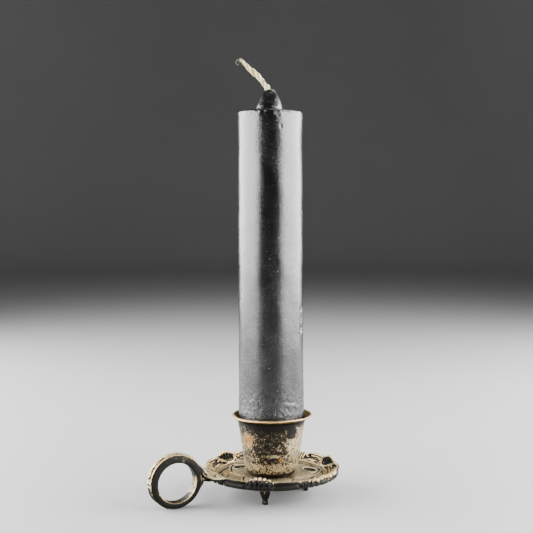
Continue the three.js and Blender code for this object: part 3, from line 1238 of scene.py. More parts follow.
    def build(self, pan: DripPan) -> bpy.types.Object:
        """Models the border.

        Args:
            pan: The pan that it lies on.

        Returns:
            The border with its relief marked.
        """
        centre = (self.plan.axis_x, self.plan.axis_y)
        band = Bench.turn("band", self.outline(pan), centre, 240)
        places = Bench.points(band)
        x, y = places[:, 0] - centre[0], places[:, 1] - centre[1]
        radius = np.hypot(x, y)
        turn = np.abs((np.degrees(np.arctan2(y, x)) - self.plan.foot_turn + 60) % 120 - 60)
        outer = np.clip((radius - self.plan.pan_radius - 0.35) / 0.6, 0, 1)
        nick = sum(np.exp(-(((turn - at) / 1.5) ** 2)) for at in (11.6, 33.8, 42.6, 47.9, 54.0))
        scale = 1 - 0.5 * outer * np.minimum(nick, 1) / np.maximum(radius, 1)
        places[:, 0], places[:, 1] = centre[0] + x * scale, centre[1] + y * scale
        Bench.move_points(band, places)
        ornament = Bench.strands("ornament", self.ornament(pan.upper_height(self.plan.pan_radius)))
        border = Bench.fuse("border", [band, ornament], self.voxel, 2)
        Bench.weather(border, 0.9, 0.14)
        Bench.mark_relief(border, 0.3, 26)
        return border


# --------------------------------------------------------------------------- socket cup


@dataclass
class SocketCup:
    """The flared cup with a rolled lip."""

    plan: Plan
    seat: float = 9.0
    belly: float = 15.4
    belly_height: float = 5.2
    neck: float = 19.4
    lip_drop: float = 5.0
    lip_thickness: float = 1.7
    wall: float = 1.9
    floor: float = 2.2
    bore: float = 2.5
    lip_lean: float = 0.8
    lip_turn: float = -27.0
    steps: int = 240

    def outside(self) -> Outline:
        """Draws the outside of the cup.

        Returns:
            The points from its seat to the lip.
        """
        base, top, lip = self.plan.cup_base, self.plan.cup_lip, self.plan.cup_radius
        height = top - base
        knots = [
            (self.seat, base),
            (self.seat + 0.72 * (self.belly - self.seat), base + 0.24 * self.belly_height),
            (self.belly, base + self.belly_height),
            (self.belly + 0.42 * (self.neck - self.belly), base + 0.44 * height),
            (self.neck, top - self.lip_drop),
            (self.neck + 0.35 * (lip - self.neck), top - 0.55 * self.lip_drop),
            (lip, top - 0.6 * self.lip_thickness),
        ]
        return smooth_line(knots, 60)

    def outline(self) -> Outline:
        """Draws the cup's wall.

        Returns:
            The closed outline.
        """
        top, lip = self.plan.cup_lip, self.plan.cup_radius
        floor = self.plan.cup_base + self.floor
        outside = self.outside()
        roll = [
            (lip + 0.05, top - 0.4 * self.lip_thickness), (lip - 0.15, top - 0.12 * self.lip_thickness),
            (lip - 0.6, top), (lip - 1.2, top - 0.05), (lip - self.lip_thickness, top - 0.45),
        ]
        inside = [
            (r - self.wall, z + 0.25 * self.wall)
            for r, z in outside
            if floor + 1 < z < top - self.lip_thickness
        ]
        bottom = [(inside[0][0] - 2, floor), (self.bore, floor), (self.bore, self.plan.cup_base)]
        return [(self.bore, self.plan.cup_base), *outside, *roll, *reversed(inside), *bottom]

    def build(self) -> bpy.types.Object:
        """Models the cup.

        Returns:
            The cup with its relief marked.
        """
        centre = (self.plan.axis_x, self.plan.axis_y)
        cup = Bench.turn("cup", self.outline(), centre, self.steps)
        places = Bench.points(cup)
        angle = np.arctan2(places[:, 1] - centre[1], places[:, 0] - centre[0])
        lip = np.clip((places[:, 2] - self.plan.cup_lip + 4) / 4, 0, 1)
        places[:, 2] += lip * (0.12 * np.sin(3 * angle + 0.6) + 0.07 * np.sin(7 * angle) - 0.18)
        Bench.move_points(cup, places)
        lean = np.clip((places[:, 2] - self.plan.cup_lip + 2.0) / 2.0, 0, 1) ** 1.5
        turn = math.radians(self.lip_turn)
        places += lean[:, None] * self.lip_lean * np.array([math.cos(turn), math.sin(turn), 0])
        Bench.move_points(cup, places)
        Bench.weather(cup, 1.7, 0.4, np.clip((places[:, 2] - self.plan.cup_lip + 1.6) / 1.0, 0, 1))
        Bench.weather(cup, 2.4, 0.16)
        Bench.weather(cup, 0.8, 0.07)
        Bench.mark_relief(cup, 0.16, 14)
        return cup


def curve_point(four: np.ndarray, share: float) -> np.ndarray:
    """Finds a point on the smooth curve between the middle two of four knots.

    Args:
        four: The knots.
        share: How far the point lies from the second knot to the third, from 0 to 1.

    Returns:
        The point.
    """
    a, b, c, d = four
    bend = (2 * a - 5 * b + 4 * c - d) * share**2
    twist = (3 * b - a - 3 * c + d) * share**3
    return 0.5 * (2 * b + (c - a) * share + bend + twist)


def smooth_line(knots: Outline, count: int) -> Outline:
    """Draws a smooth line through some knots.

    Args:
        knots: (radius, height) points that the line goes through.
        count: Number of points wanted.

    Returns:
        Evenly numbered points on the line.
    """
    points = np.array([knots[0], *knots, knots[-1]], float)
    line = []
    for share in np.linspace(0, len(knots) - 1 - 1e-9, count):
        start = int(share)
        line.append(tuple(curve_point(points[start : start + 4], share - start)))
    return line


# --------------------------------------------------------------------------- handle


@dataclass
class RingHandle:
    """The finger ring with its forked neck and the leaf over the border, one casting."""

    plan: Plan
    hole: float = 11.2
    band: float = 3.0
    width: float = 7.0
    crown: float = 2.2
    crown_turn: float = 115.0
    floor_gap: float = 0.5
    fork: float = 18.5
    voxel: float = 0.25

    @property
    def middle(self) -> tuple[float, float]:
        """Finds the middle of the ring.

        Returns:
            Its place in X and Z.
        """
        height = self.hole + self.band + self.floor_gap
        left = self.plan.ring_left + self.hole + self.band + self.crown_at(180.0)
        return left, height

    def crown_at(self, turn: float) -> float:
        """Returns the height of the crown at an angle round the ring."""
        return self.crown * (0.5 + 0.5 * math.cos(math.radians(turn - self.crown_turn))) ** 0.7

    def on_ring(self, turn: float, radius: float, side: float) -> Point:
        """Finds a point on the ring.

        Args:
            turn: Angle round the ring in degrees.
            radius: Distance from its middle in millimetres.
            side: Place across it in millimetres.

        Returns:
            The point in metres.
        """
        x, z = self.middle
        angle = math.radians(turn)
        return (
            (x + radius * math.cos(angle)) * MM, (self.plan.axis_y + side)
            * MM, (z + radius * math.sin(angle)) * MM
        )

    def hoop(self) -> bpy.types.Object:
        """Models the plain band of the ring.

        Returns:
            The band, its axis along Y.
        """
        half = self.width / 2
        outer = self.hole + self.band
        outline = [
            (self.hole, -half + 0.7), (self.hole + 0.2, -half + 0.2), (self.hole + 0.7, -half),
            (outer - 0.9, -half),
            (outer - 0.3, -half + 0.25), (outer, -half + 0.9), (outer + 0.2, 0), (outer, half - 0.9),
            (outer - 0.3, half - 0.25), (outer - 0.9, half), (self.hole + 0.7, half),
            (self.hole + 0.2, half - 0.2),
            (self.hole, half - 0.7), (self.hole - 0.12, 0), (self.hole, -half + 0.7),
        ]
        hoop = Bench.turn("hoop", outline, (0, 0), 160)
        places = Bench.points(hoop)
        x, z = self.middle
        angle = np.degrees(np.arctan2(places[:, 1], places[:, 0]))
        radius = np.hypot(places[:, 0], places[:, 1])
        lift = np.array([self.crown_at(a) for a in angle]) * 0.62
        radius = radius + lift * np.clip((radius - outer + 0.9) / 0.9, 0, 1)
        turned = np.radians(angle)
        stood = np.column_stack(
            [x + radius * np.cos(turned), self.plan.axis_y - places[:, 2], z + radius * np.sin(turned)]
        )
        Bench.move_points(hoop, stood)
        return hoop

    def ring_ornament(self) -> list[Path]:
        """Draws the beaded scrollwork along the outside of the ring.

        Returns:
            The strands.
        """
        outer = self.hole + self.band
        paths = []
        for side in (-2.35, 2.35):
            edge = [
                (self.on_ring(t, outer + 0.55 * self.crown_at(t), side), 0.75 if 30 < t < 220 else 0.45)
                for t in range(14, 250, 9)
            ]
            paths.append(edge)
        for number, turn in enumerate(range(44, 168, 14)):
            reach = outer + 0.62 * self.crown_at(turn) + 0.25
            sway = 0.9 if number % 2 else -0.9
            paths.append([
                (self.on_ring(turn - 6, reach, -sway), 0.4),
                (self.on_ring(turn - 2, reach + 0.2, sway * 0.2), 0.62),
                (self.on_ring(turn + 2, reach + 0.2, sway), 0.62),
                (self.on_ring(turn + 6, reach, sway * 0.4), 0.4),
            ])
        for turn in (176, 184):
            reach = outer + 0.62 * self.crown_at(turn)
            bar = ((-2.6, 0.0, 0.55), (0.0, 0.3, 0.7), (2.6, 0.0, 0.55))
            paths.append([(self.on_ring(turn, reach + rise, side), width) for side, rise, width in bar])
        return paths

    def neck(self, edge: float) -> list[Path]:
        """Returns the forked neck, the web in its fork and the leaf.

        Args:
            edge: Height of the pan's edge in millimetres.

        Returns:
            The strands of the neck.
        """
        plan = self.plan
        rim, outer = plan.rim_radius, self.hole + self.band
        paths = []
        for side in (-1, 1):
            paths.append([
                (self.on_ring(70, outer + 0.6, side * 2.2), 0.8),
                (self.on_ring(50, outer + 0.5, side * 2.1), 1.1),
                (plan.polar(180 - side * 1.5, rim + 4.4, edge + 4.0), 1.4),
                (plan.polar(180 - side * 2.5, rim + 1.8, edge + 1.3), 1.4),
                (plan.polar(180 - side * 7.0, rim + 0.2, edge + 0.1), 1.15),
                (plan.polar(180 - side * 12.5, rim - 0.5, edge + 0.5), 1.05),
                (plan.polar(180 - side * self.fork, rim - 1.2, edge + 1.3), 0.95),
                (plan.polar(180 - side * (self.fork + 1.6), rim - 2.9, edge + 1.3), 0.7),
                (plan.polar(180 - side * (self.fork - 1.8), rim - 3.6, edge + 0.9), 0.5),
            ])
        for side in (-1.5, 0, 1.5):
            paths.append([
                (self.on_ring(38, outer - 0.9, side), 1.3), (self.on_ring(20, outer + 0.6, side), 1.7),
                (plan.polar(180 - side * 1.2, rim + 3.0, edge + 0.6), 1.6),
                (plan.polar(180 - side * 2.5, rim + 0.6, edge + 0.1), 1.4),
                (plan.polar(180 - side * 3.5, rim - 1.6, edge + 0.9), 1.0),
            ])
            paths.append([
                (self.on_ring(-34, outer - 0.7, side), 1.0), (self.on_ring(-12, outer + 0.4, side), 1.35),
                (self.on_ring(2, outer + 1.8, side), 1.4),
                (plan.polar(180 - side * 1.4, rim + 1.6, edge - 1.2), 1.2),
                (plan.polar(180 - side * 2.5, rim + 0.2, edge - 1.0), 1.0),
            ])
        for side in (-1, 0, 1):
            paths.append([
                (plan.polar(180 - side * 2, rim + 1.5, edge + 1.2), 0.9),
                (plan.polar(180 - side * 4, rim - 1.4, edge + 2.2), 0.85),
                (plan.polar(180 - side * 6.5, rim - 3.6, edge + 1.9 - 0.4 * abs(side)), 0.75),
                (plan.polar(180 - side * 8, rim - 5.4 + abs(side), edge + 0.6), 0.5),
            ])
        return paths

    def build(self, edge: float) -> bpy.types.Object:
        """Models the handle.

        Args:
            edge: Height of the pan's edge, which it is soldered to.

        Returns:
            The handle with its relief marked.
        """
        work = Bench.strands("handle_work", [*self.ring_ornament(), *self.neck(edge)])
        outer = self.hole + self.band
        beads = [
            Bench.ball(self.on_ring(turn + 7, outer + 0.62 * self.crown_at(turn + 7) + 0.45, 0), 0.85)
            for turn in range(44, 158, 14)
        ]
        handle = Bench.fuse("handle", [self.hoop(), work, *beads], self.voxel, 2)
        Bench.weather(handle, 0.9, 0.12)
        Bench.mark_relief(handle, 0.28, 26)
        return handle


# --------------------------------------------------------------------------- feet


@dataclass
class Foot:
    """A short tapered foot, cast with three lobes."""

    plan: Plan
    top: float = 3.2
    toe: float = 1.7
    flatness: float = 0.75
    height: float = 9.6

    def build(self, name: str, centre: tuple[float, float]) -> bpy.types.Object:
        """Models one foot.

        Args:
            name: Name of the piece.
            centre: Its place in millimetres.

        Returns:
            The foot with its relief marked.
        """
        knots = [
            (self.toe * 0.75, 0.0), (self.toe, 0.15), (self.toe * 1.12, 1.2), (self.toe * 0.98, 2.6),
            (self.toe * 1.45, 4.6), (self.top * 0.98, 6.6), (self.top * 1.08, 8.4),
            (self.top * 1.1, self.height),
        ]
        foot = Bench.turn(name, smooth_line(knots, 46), (0, 0), 72)
        places = Bench.points(foot)
        angle = np.arctan2(places[:, 1], places[:, 0])
        radius = np.hypot(places[:, 0], places[:, 1])
        share = np.clip(places[:, 2] / self.height, 0, 1)
        lobes = 1 - (0.16 * share + 0.05) * (0.5 - 0.5 * np.cos(5 * angle)) ** 0.6
        toes = 1 - 0.1 * (1 - share) * (0.5 - 0.5 * np.cos(5 * angle))
        radius = radius * lobes * toes
        turn = math.atan2(centre[1] - self.plan.axis_y, centre[0] - self.plan.axis_x)
        out, side = radius * np.cos(angle) * self.flatness, radius * np.sin(angle)
        out += 0.5 * (1 - share) ** 2
        x = centre[0] + out * math.cos(turn) - side * math.sin(turn)
        y = centre[1] + out * math.sin(turn) + side * math.cos(turn)
        Bench.move_points(foot, np.column_stack([x, y, places[:, 2]]))
        Bench.mark_relief(foot, 0.2, 12)
        return foot


# --------------------------------------------------------------------------- candle and wick


@dataclass
class Candle:
    """The pillar candle: pared butt, drawn body, rounded shoulder and moulded nub."""

    plan: Plan
    nub_radius: float = 7.3
    nub_height: float = 13.3
    shoulder: float = 0.9
    steps: int = 200
    crinkle_top: float = 66.0
    lean_turn: float = 153.0
    drip_turn: float = 240.0
    chips: tuple[tuple[float, float, float, float, float], ...] = (
        (109.5, 311, 1.7, 5.0, 0.6), (104.0, 313, 3.8, 3.6, 0.7), (98.0, 311, 2.3, 6.0, 0.9),
        (213.0, 262, 1.0, 2.0, 0.3),
    )

    @property
    def shoulder_height(self) -> float:
        """Height of the candle's shoulder."""
        return self.plan.candle_top - self.nub_height

    def outline(self, cup: SocketCup) -> Outline:
        """Returns the outline of the candle, from its butt to the tip of the nub.

        Args:
            cup: The cup that the butt is pared to.

        Returns:
            The outline's points.
        """
        radius, top, low = self.plan.candle_radius, self.shoulder_height, self.plan.candle_low
        floor = self.plan.cup_base + cup.floor
        wall = [
            (min(radius, r - cup.wall - 0.5), z + 0.25 * cup.wall)
            for r, z in cup.outside()
            if z > max(floor + 1, low + 1) and z < self.plan.cup_lip - cup.lip_thickness
        ]
        butt = [(2.2, low), (wall[0][0] - 3, low), (wall[0][0] - 1, low + 0.15), (wall[0][0], low + 1)]
        body = [(radius, z) for z in np.linspace(self.plan.cup_lip + 0.3, top - self.shoulder - 0.4, 250)]
        edge = [
            (radius - self.shoulder * (1 - math.cos(t)), top - self.shoulder * (1 - math.sin(t)))
            for t in np.linspace(0, math.pi / 2, 7)
        ]
        meniscus = [
            (radius - 3.4, top - 0.1), (radius - 6.5, top - 0.3), (self.nub_radius + 2.4, top - 0.2)
        ]
        nub = smooth_line([
            (self.nub_radius + 1.1, top + 0.1), (self.nub_radius + 0.1, top + 1.1),
            (self.nub_radius * 0.93, top + 0.30 * self.nub_height),
            (self.nub_radius * 0.78, top + 0.58 * self.nub_height),
            (self.nub_radius * 0.57, top + 0.82 * self.nub_height),
            (self.nub_radius * 0.36, top + self.nub_height - 0.4), (0.9, top + self.nub_height),
        ], 60)
        return [*butt, *wall, *body, *edge, *meniscus, *nub]

    def build(self, cup: SocketCup) -> bpy.types.Object:
        """Models the candle.

        Args:
            cup: The cup that it stands in.

        Returns:
            The candle.
        """
        centre = (self.plan.axis_x, self.plan.axis_y)
        candle = Bench.turn("pillar", self.outline(cup), centre, self.steps)
        places = Bench.points(candle)
        x, y, z = places[:, 0] - centre[0], places[:, 1] - centre[1], places[:, 2]
        angle = np.arctan2(y, x)
        body = np.clip((z - self.plan.cup_lip - 1) / 4, 0, 1) * np.clip(
            (self.shoulder_height + 0.5 - z) / 2, 0, 1
        )
        drawn = 0.10 * np.sin(z / 17 + 2 * angle) + 0.06 * np.sin(z / 6.1 + 5 * angle) - 0.16
        pit = np.zeros(len(z))
        for height, turn, tall, wide, deep in self.chips:
            across = (np.degrees(angle) - turn + 180) % 360 - 180
            pit += deep * np.exp(-(((z - height) / tall) ** 4) - ((across / wide) ** 4))
        scale = 1 + body * (drawn - pit) / self.plan.candle_radius
        top = (z > self.shoulder_height - 1) & (z < self.shoulder_height + 1)
        places[:, 0], places[:, 1] = centre[0] + x * scale, centre[1] + y * scale
        places[:, 2] += np.where(top, 0.15 * np.sin(2 * angle + 1.0), 0)
        self.swell_nub(places, centre)
        Bench.move_points(candle, places)
        low = np.clip((self.crinkle_top - z) / 9, 0, 1) * np.clip((z - self.plan.cup_lip) / 2, 0, 1)
        shoulder = np.clip(1 - np.abs(z - self.shoulder_height + 1.5) / 3.5, 0, 1)
        Bench.weather(candle, 2.4, 0.8, low)
        Bench.weather(candle, 1.0, 0.4, low)
        Bench.weather(candle, 2.6, 0.28, np.clip((z - self.shoulder_height) / 2, 0, 1))
        Bench.weather(candle, 3.2, 1.3, shoulder)
        Bench.weather(candle, 1.2, 0.5, np.clip(pit * 2, 0, 1))
        Bench.weather(candle, 15, 0.22)
        Bench.weather(candle, 4.5, 0.07)
        return candle

    def swell_nub(self, places: np.ndarray, centre: tuple[float, float]) -> None:
        """Swells and leans the foot of the nub, and raises three small runs of wax on its face.

        Args:
            places: The candle's points in millimetres, which are moved.
            centre: Where the candle's axis stands.
        """
        top = self.shoulder_height
        rise = np.clip((places[:, 2] - top) / self.nub_height, 0, 1)
        on_nub = (places[:, 2] > top + 0.05) & (
            np.hypot(places[:, 0] - centre[0], places[:, 1] - centre[1]) < 9.5
        )
        swell = np.where(on_nub, 1 + 0.13 * (1 - rise) ** 1.5, 1)
        for axis in (0, 1):
            lean = self.plan.polar(self.lean_turn, 0.9, 0)[axis] / MM - centre[axis]
            places[:, axis] = centre[axis] + (places[:, axis] - centre[axis]) * swell + np.where(
                on_nub, lean * (1 - rise) ** 2, 0
            )
        out = (
            np.array(self.plan.polar(self.drip_turn, 1, 0))
            - np.array(self.plan.polar(self.drip_turn, 0, 0))
        ) / MM
        for share, reach, size, height in (
            (0.74, 0.62, 1.25, 0.55), (0.44, 0.86, 1.0, 0.4), (0.24, 0.95, 0.8, 0.3)
        ):
            face = np.array(
                self.plan.polar(self.drip_turn, self.nub_radius * reach, top + share * self.nub_height)
            ) / MM
            away = np.linalg.norm(places - face, axis=1)
            places += np.where(on_nub, height * np.exp(-((away / size) ** 2)), 0)[:, None] * out


@dataclass
class Wick:
    """The braided wick, laid up as a tube that follows its path, with a frayed tip."""

    plan: Plan
    radius: float = 1.65
    offset: float = 1.4
    turn: float = 153.0
    tail: float = 1.0
    sides: int = 36
    free_length: float = 23.5
    free_end: tuple[tuple[float, float], ...] = (
        (0.9, 1.3), (2.1, 3.3), (3.8, 5.6), (5.9, 7.9), (8.1, 9.8), (10.3, 11.6), (12.4, 13.9),
        (15.4, 17.0),
    )

    def leaning(self, out: float, height: float) -> np.ndarray:
        """Returns a point beside the candle's axis, in the direction in which the wick leans."""
        return np.array(self.plan.polar(self.turn, out, height)) / MM

    def path(self) -> np.ndarray:
        """Draws the wick's centreline, close enough together for the braid.

        Returns:
            The points in millimetres.
        """
        low, top = self.plan.candle_low + self.tail, self.plan.candle_top
        knots = [self.leaning(self.offset, z) for z in np.linspace(low, top, 13)]
        knots += [self.leaning(self.offset + out, top + up) for out, up in self.free_end]
        knots = np.array([knots[0], *knots, 2 * knots[-1] - knots[-2]])
        line = []
        for start in range(len(knots) - 3):
            count = 8 if start < 10 else 40 if start < 12 else 20
            for t in np.linspace(0, 1, count, endpoint=False):
                line.append(curve_point(knots[start : start + 4], t))
        line.append(knots[-2])
        return np.array(line)

    def build(self) -> tuple[bpy.types.Object, np.ndarray]:
        """Models the braid.

        Returns:
            The wick and its centreline.
        """
        line = self.path()
        ahead = np.gradient(line, axis=0)
        ahead /= np.linalg.norm(ahead, axis=1)[:, None]
        across = np.cross(
            ahead, np.array([math.sin(math.radians(self.turn)), -math.cos(math.radians(self.turn)), 0])
        )
        across /= np.linalg.norm(across, axis=1)[:, None]
        beside = np.cross(ahead, across)
        run = np.concatenate([[0], np.cumsum(np.linalg.norm(np.diff(line, axis=0), axis=1))])
        angle = np.linspace(0, 2 * math.pi, self.sides, endpoint=False)
        free = run - run[-1] + self.free_length
        thick = np.interp(
            free, (0, 3, 8, 13, 17, 20, self.free_length), (1.0, 0.76, 0.88, 1.1, 0.8, 0.66, 0.5)
        )
        ply = np.abs(np.cos(1.5 * angle[None, :] - run[:, None] * 0.75)) ** 1.2
        stitch = 0.5 + 0.5 * np.sin(5 * angle[None, :] + run[:, None] * 3.4) * np.sin(run[:, None] * 2.3)
        shape = 0.62 * ply + 0.38 * stitch
        radius = self.radius * thick[:, None] * (0.62 + 0.46 * shape)
        ring = (
            across[:, None, :] * np.cos(angle)[None, :, None] + beside[:, None, :]
            * np.sin(angle)[None, :, None]
        )
        places = (line[:, None, :] + ring * radius[:, :, None]).reshape(-1, 3)
        count = len(line)
        faces = [
            (
                i * self.sides + j, i * self.sides + (j + 1) % self.sides,
                (i + 1) * self.sides + (j + 1) % self.sides, (i + 1) * self.sides + j
            )
            for i in range(count - 1)
            for j in range(self.sides)
        ]
        faces.append(tuple(reversed(range(self.sides))))
        faces.append(tuple((count - 1) * self.sides + j for j in range(self.sides)))
        mesh = bpy.data.meshes.new("braid")
        mesh.from_pydata((places * MM).tolist(), [], faces)
        wick = bpy.data.objects.new("braid", mesh)
        bpy.context.scene.collection.objects.link(wick)
        Bench.pick(wick)
        bpy.ops.object.mode_set(mode="EDIT")
        bpy.ops.mesh.select_all(action="SELECT")
        bpy.ops.mesh.normals_make_consistent(inside=False)
        bpy.ops.object.mode_set(mode="OBJECT")
        Bench.settle(wick)
        marks = wick.data.attributes.new("relief", "FLOAT", "POINT")
        marks.data.foreach_set("value", np.clip(shape.ravel() * 1.6 - 0.35, 0, 1))
        return wick, line

    def fray(self, line: np.ndarray) -> bpy.types.Object:
        """Models the fuzz along the free end and the loose yarn at the tip.

        Args:
            line: The wick's centreline in millimetres.

        Returns:
            The fibres as one piece.
        """
        draw = np.random.default_rng(7)
        tip, ahead = line[-1], line[-1] - line[-6]
        ahead = ahead / np.linalg.norm(ahead)
        paths = []
        for _ in range(22):
            spread = draw.normal(0, 0.55, 3)
            root = tip - ahead * 2.2 + spread * 0.5
            middle = tip - ahead * draw.uniform(-0.1, 0.7) + spread * 1.1
            end = middle + ahead * draw.uniform(-0.3, 1.0) + draw.normal(0, 0.7, 3)
            paths.append([(tuple(root * MM), 0.24), (tuple(middle * MM), 0.18), (tuple(end * MM), 0.07)])
        start = np.searchsorted(line[:, 2], self.plan.candle_top + 1.5)
        for _ in range(70):
            at = int(draw.integers(start, len(line) - 8))
            out = draw.normal(0, 1, 3)
            out /= np.linalg.norm(out)
            root = line[at] + out * 0.9
            end = line[at] + out * draw.uniform(1.9, 2.7) + ahead * draw.uniform(-0.5, 1.6)
            middle = (root + end) / 2 + draw.normal(0, 0.25, 3)
            paths.append([(tuple(root * MM), 0.11), (tuple(middle * MM), 0.08), (tuple(end * MM), 0.03)])
        limit = CAD_BOX[1][2] - 0.3 * MM
        paths = [[((x, y, min(z, limit)), radius) for (x, y, z), radius in path] for path in paths]
        return Bench.strands("fray", paths, 1)

    def loose_thread(self) -> bpy.types.Object:
        """Models the dark thread that curls over at the tip.

        Returns:
            The thread.
        """
        top = self.plan.candle_top
        curl = (
            (14.8, 16.4), (16.2, 17.3), (17.6, 16.9), (18.3, 15.6), (17.9, 14.4), (16.9, 14.0),
            (16.2, 14.9)
        )
        return Bench.strands("loose_thread", [
            [(tuple(self.leaning(self.offset + out, top + up) * MM), 0.24) for out, up in curl]
        ], 2)


# --------------------------------------------------------------------------- studio


@dataclass
class Studio:
    """A plain pale floor, two tall soft panels and the camera."""

    plan: Plan
    azimuth: float = -27.0
    distance: float = 553.4
    eye: float = 159.7
    pitch: float = 2.69
    side: float = -2.47
    roll: float = 0.22
    lens: float = 64.41

    def camera(self) -> None:
        """Places the camera and makes it the scene's own."""
        turn = math.radians(self.azimuth)
        back = Vector((math.sin(turn), -math.cos(turn), 0))
        right = Vector((math.cos(turn), math.sin(turn), 0))
        axis = Vector((self.plan.axis_x, self.plan.axis_y, 0))
        place = axis + back * self.distance + Vector((0, 0, self.eye))
        target = axis + right * self.side + Vector(
            (0, 0, self.eye - self.distance * math.tan(math.radians(self.pitch)))
        )
        data = bpy.data.cameras.new("camera")
        data.lens = self.lens
        data.sensor_width = 36
        data.clip_start, data.clip_end = 0.01, 50
        camera = bpy.data.objects.new("camera", data)
        bpy.context.scene.collection.objects.link(camera)
        camera.location = place * MM
        camera.rotation_mode = "QUATERNION"
        tilt = Quaternion((0, 0, 1), -math.radians(self.roll))
        camera.rotation_quaternion = (target - place).to_track_quat("-Z", "Y") @ tilt
        bpy.context.scene.camera = camera

    def panel(
        self, name: str, turn: float, distance: float, size: tuple[float, float], height: float,
        watts: float
    ) -> None:
        """Stands a soft light panel round the object.

        Args:
            name: Name of the light.
            turn: Its direction from the camera's, in degrees, positive to the right.
            distance: Its distance in metres.
            size: Its width and height in metres.
            height: Height of its middle in metres.
            watts: Its power.
        """
        data = bpy.data.lights.new(name, "AREA")
        data.shape = "RECTANGLE"
        data.size, data.size_y = size
        data.energy = watts
        light = bpy.data.objects.new(name, data)
        light.visible_camera = False
        bpy.context.scene.collection.objects.link(light)
        angle = math.radians(self.azimuth + turn)
        axis = Vector((self.plan.axis_x * MM, self.plan.axis_y * MM, 0.12))
        light.location = axis + Vector(
            (math.sin(angle) * distance, -math.cos(angle) * distance, height - 0.12)
        )
        light.rotation_mode = "QUATERNION"
        light.rotation_quaternion = (axis - light.location).to_track_quat("-Z", "Y")

    def floor(self) -> None:
        """Lays the pale floor, which curves up into a wall far behind the object."""
        Bench.clear()
        bpy.ops.mesh.primitive_circle_add(vertices=128, radius=2.6, fill_type="NGON", location=(0, 0, 0))
        floor = bpy.context.object
        floor.name = "studio_floor"
        bpy.ops.object.mode_set(mode="EDIT")
        bpy.ops.mesh.select_all(action="SELECT")
        bpy.ops.mesh.select_mode(type="EDGE")
        bpy.ops.mesh.region_to_loop()
        reach, height = 2.6, 0.0
        for step in range(1, 17):
            angle = math.pi / 2 * step / 16
            wide, tall = 2.6 + 1.0 * math.sin(angle), 1.0 * (1 - math.cos(angle))
            bpy.ops.mesh.extrude_region_move(TRANSFORM_OT_translate={"value": (0, 0, tall - height)})
            bpy.ops.transform.resize(value=(wide / reach, wide / reach, 1), center_override=(0, 0, tall))
            reach, height = wide, tall
        bpy.ops.mesh.extrude_region_move(TRANSFORM_OT_translate={"value": (0, 0, 1.5)})
        bpy.ops.object.mode_set(mode="OBJECT")
        Bench.settle(floor)
        shade = Shade("pale_floor")
        shade.set("Base Color", shade.mix(shade.noise(3, 2), (0.42, 0.42, 0.42), (0.45, 0.45, 0.45)))
        shade.set("Roughness", 0.5)
        floor.data.materials.append(shade.material)

    def world(self) -> None:
        """Sets the soft grey surroundings."""
        world = bpy.data.worlds.new("surroundings")
        world.use_nodes = True
        background = world.node_tree.nodes["Background"]
        background.inputs["Color"].default_value = (0.85, 0.86, 0.88, 1)
        background.inputs["Strength"].default_value = 0.17
        bpy.context.scene.world = world
        bpy.context.scene.view_settings.look = "AgX - Medium High Contrast"

    def build(self) -> None:
        """Sets up the whole studio."""
        self.camera()
        self.floor()
        self.world()
        self.panel("left_panel", -90, 0.60, (1.30, 0.50), 0.29, 22)
        self.panel("right_panel", 86, 0.60, (1.30, 0.50), 0.29, 24)
        self.panel("top_panel", 150, 0.45, (0.7, 0.7), 0.9, 3.5)


# --------------------------------------------------------------------------- assembly


def spots_of_cup(plan: Plan) -> tuple[Spot, ...]:
    """Lists the places on the cup where the plate is bare, black or flaking, and a painted dark reflection
    down its front.

    Args:
        plan: The frame's places.

    Returns:
        The spots.
    """
    base = plan.cup_base
    return (
        Spot(plan.polar(194, 17.4, base + 22.5), (0.0052, 0.0052, 0.0046), 0.05, (0.47, 0.215, 0.06)),
        Spot(plan.polar(262, 16.0, base + 12), (0.0016, 0.0016, 0.0018), 0.05, (0.47, 0.23, 0.07)),
        # Painted dark reflection down the front of the cup.
        Spot(plan.polar(240, 17.0, base + 20), (0.0105, 0.0105, 0.014), -0.055),
        Spot(plan.polar(0, 0, base + 4), (0.1, 0.1, 0.0055), 0.12),
        Spot(plan.polar(246, 17.0, base + 14), (0.010, 0.010, 0.0012), 0.10),
        Spot(plan.polar(300, 17.5, base + 22), (0.009, 0.009, 0.013), 0.12),
        Spot(plan.polar(283, 18.5, base + 27), (0.004, 0.004, 0.004), -0.2),
        Spot(plan.polar(150, 17.5, base + 18), (0.010, 0.010, 0.012), 0.06),
        Spot(plan.polar(60, 17.5, base + 16), (0.014, 0.014, 0.012), -0.14),
        Spot(plan.polar(243, 21.5, base + 31.4), (0.024, 0.024, 0.0022), -0.04),
        Spot(plan.polar(0, 0, plan.cup_lip - 0.9), (0.1, 0.1, 0.0013), 0.10, (0.40, 0.265, 0.11)),
    )


def hollows_of_border(plan: Plan, edge: float) -> tuple[Spot, ...]:
    """Lists the hollows in the shells and the feet of their flutes, darkened as patina and painted shade,
    and a painted highlight along the front right.

    Args:
        plan: The frame's places.
        edge: Height of the pan's edge in millimetres.

    Returns:
        The spots.
    """
    turns = [plan.foot_turn + 120 * shell for shell in range(3)]
    # Shell hollows: patina and painted shade.
    inside = [Spot(plan.polar(turn, 36.0, edge + 0.8), (0.0036, 0.0036, 0.0020), -0.14) for turn in turns]
    # Outer feet of the flutes: patina and painted shade.
    outside = [Spot(plan.polar(turn, 39.6, edge + 1.4), (0.0070, 0.0070, 0.0021), -0.4) for turn in turns]
    # Painted highlight along the front right of the border.
    front_right_highlight = Spot(plan.polar(300, 39.2, edge + 1.4), (0.015, 0.015, 0.0032), 0.42)
    return (*inside, *outside, front_right_highlight)


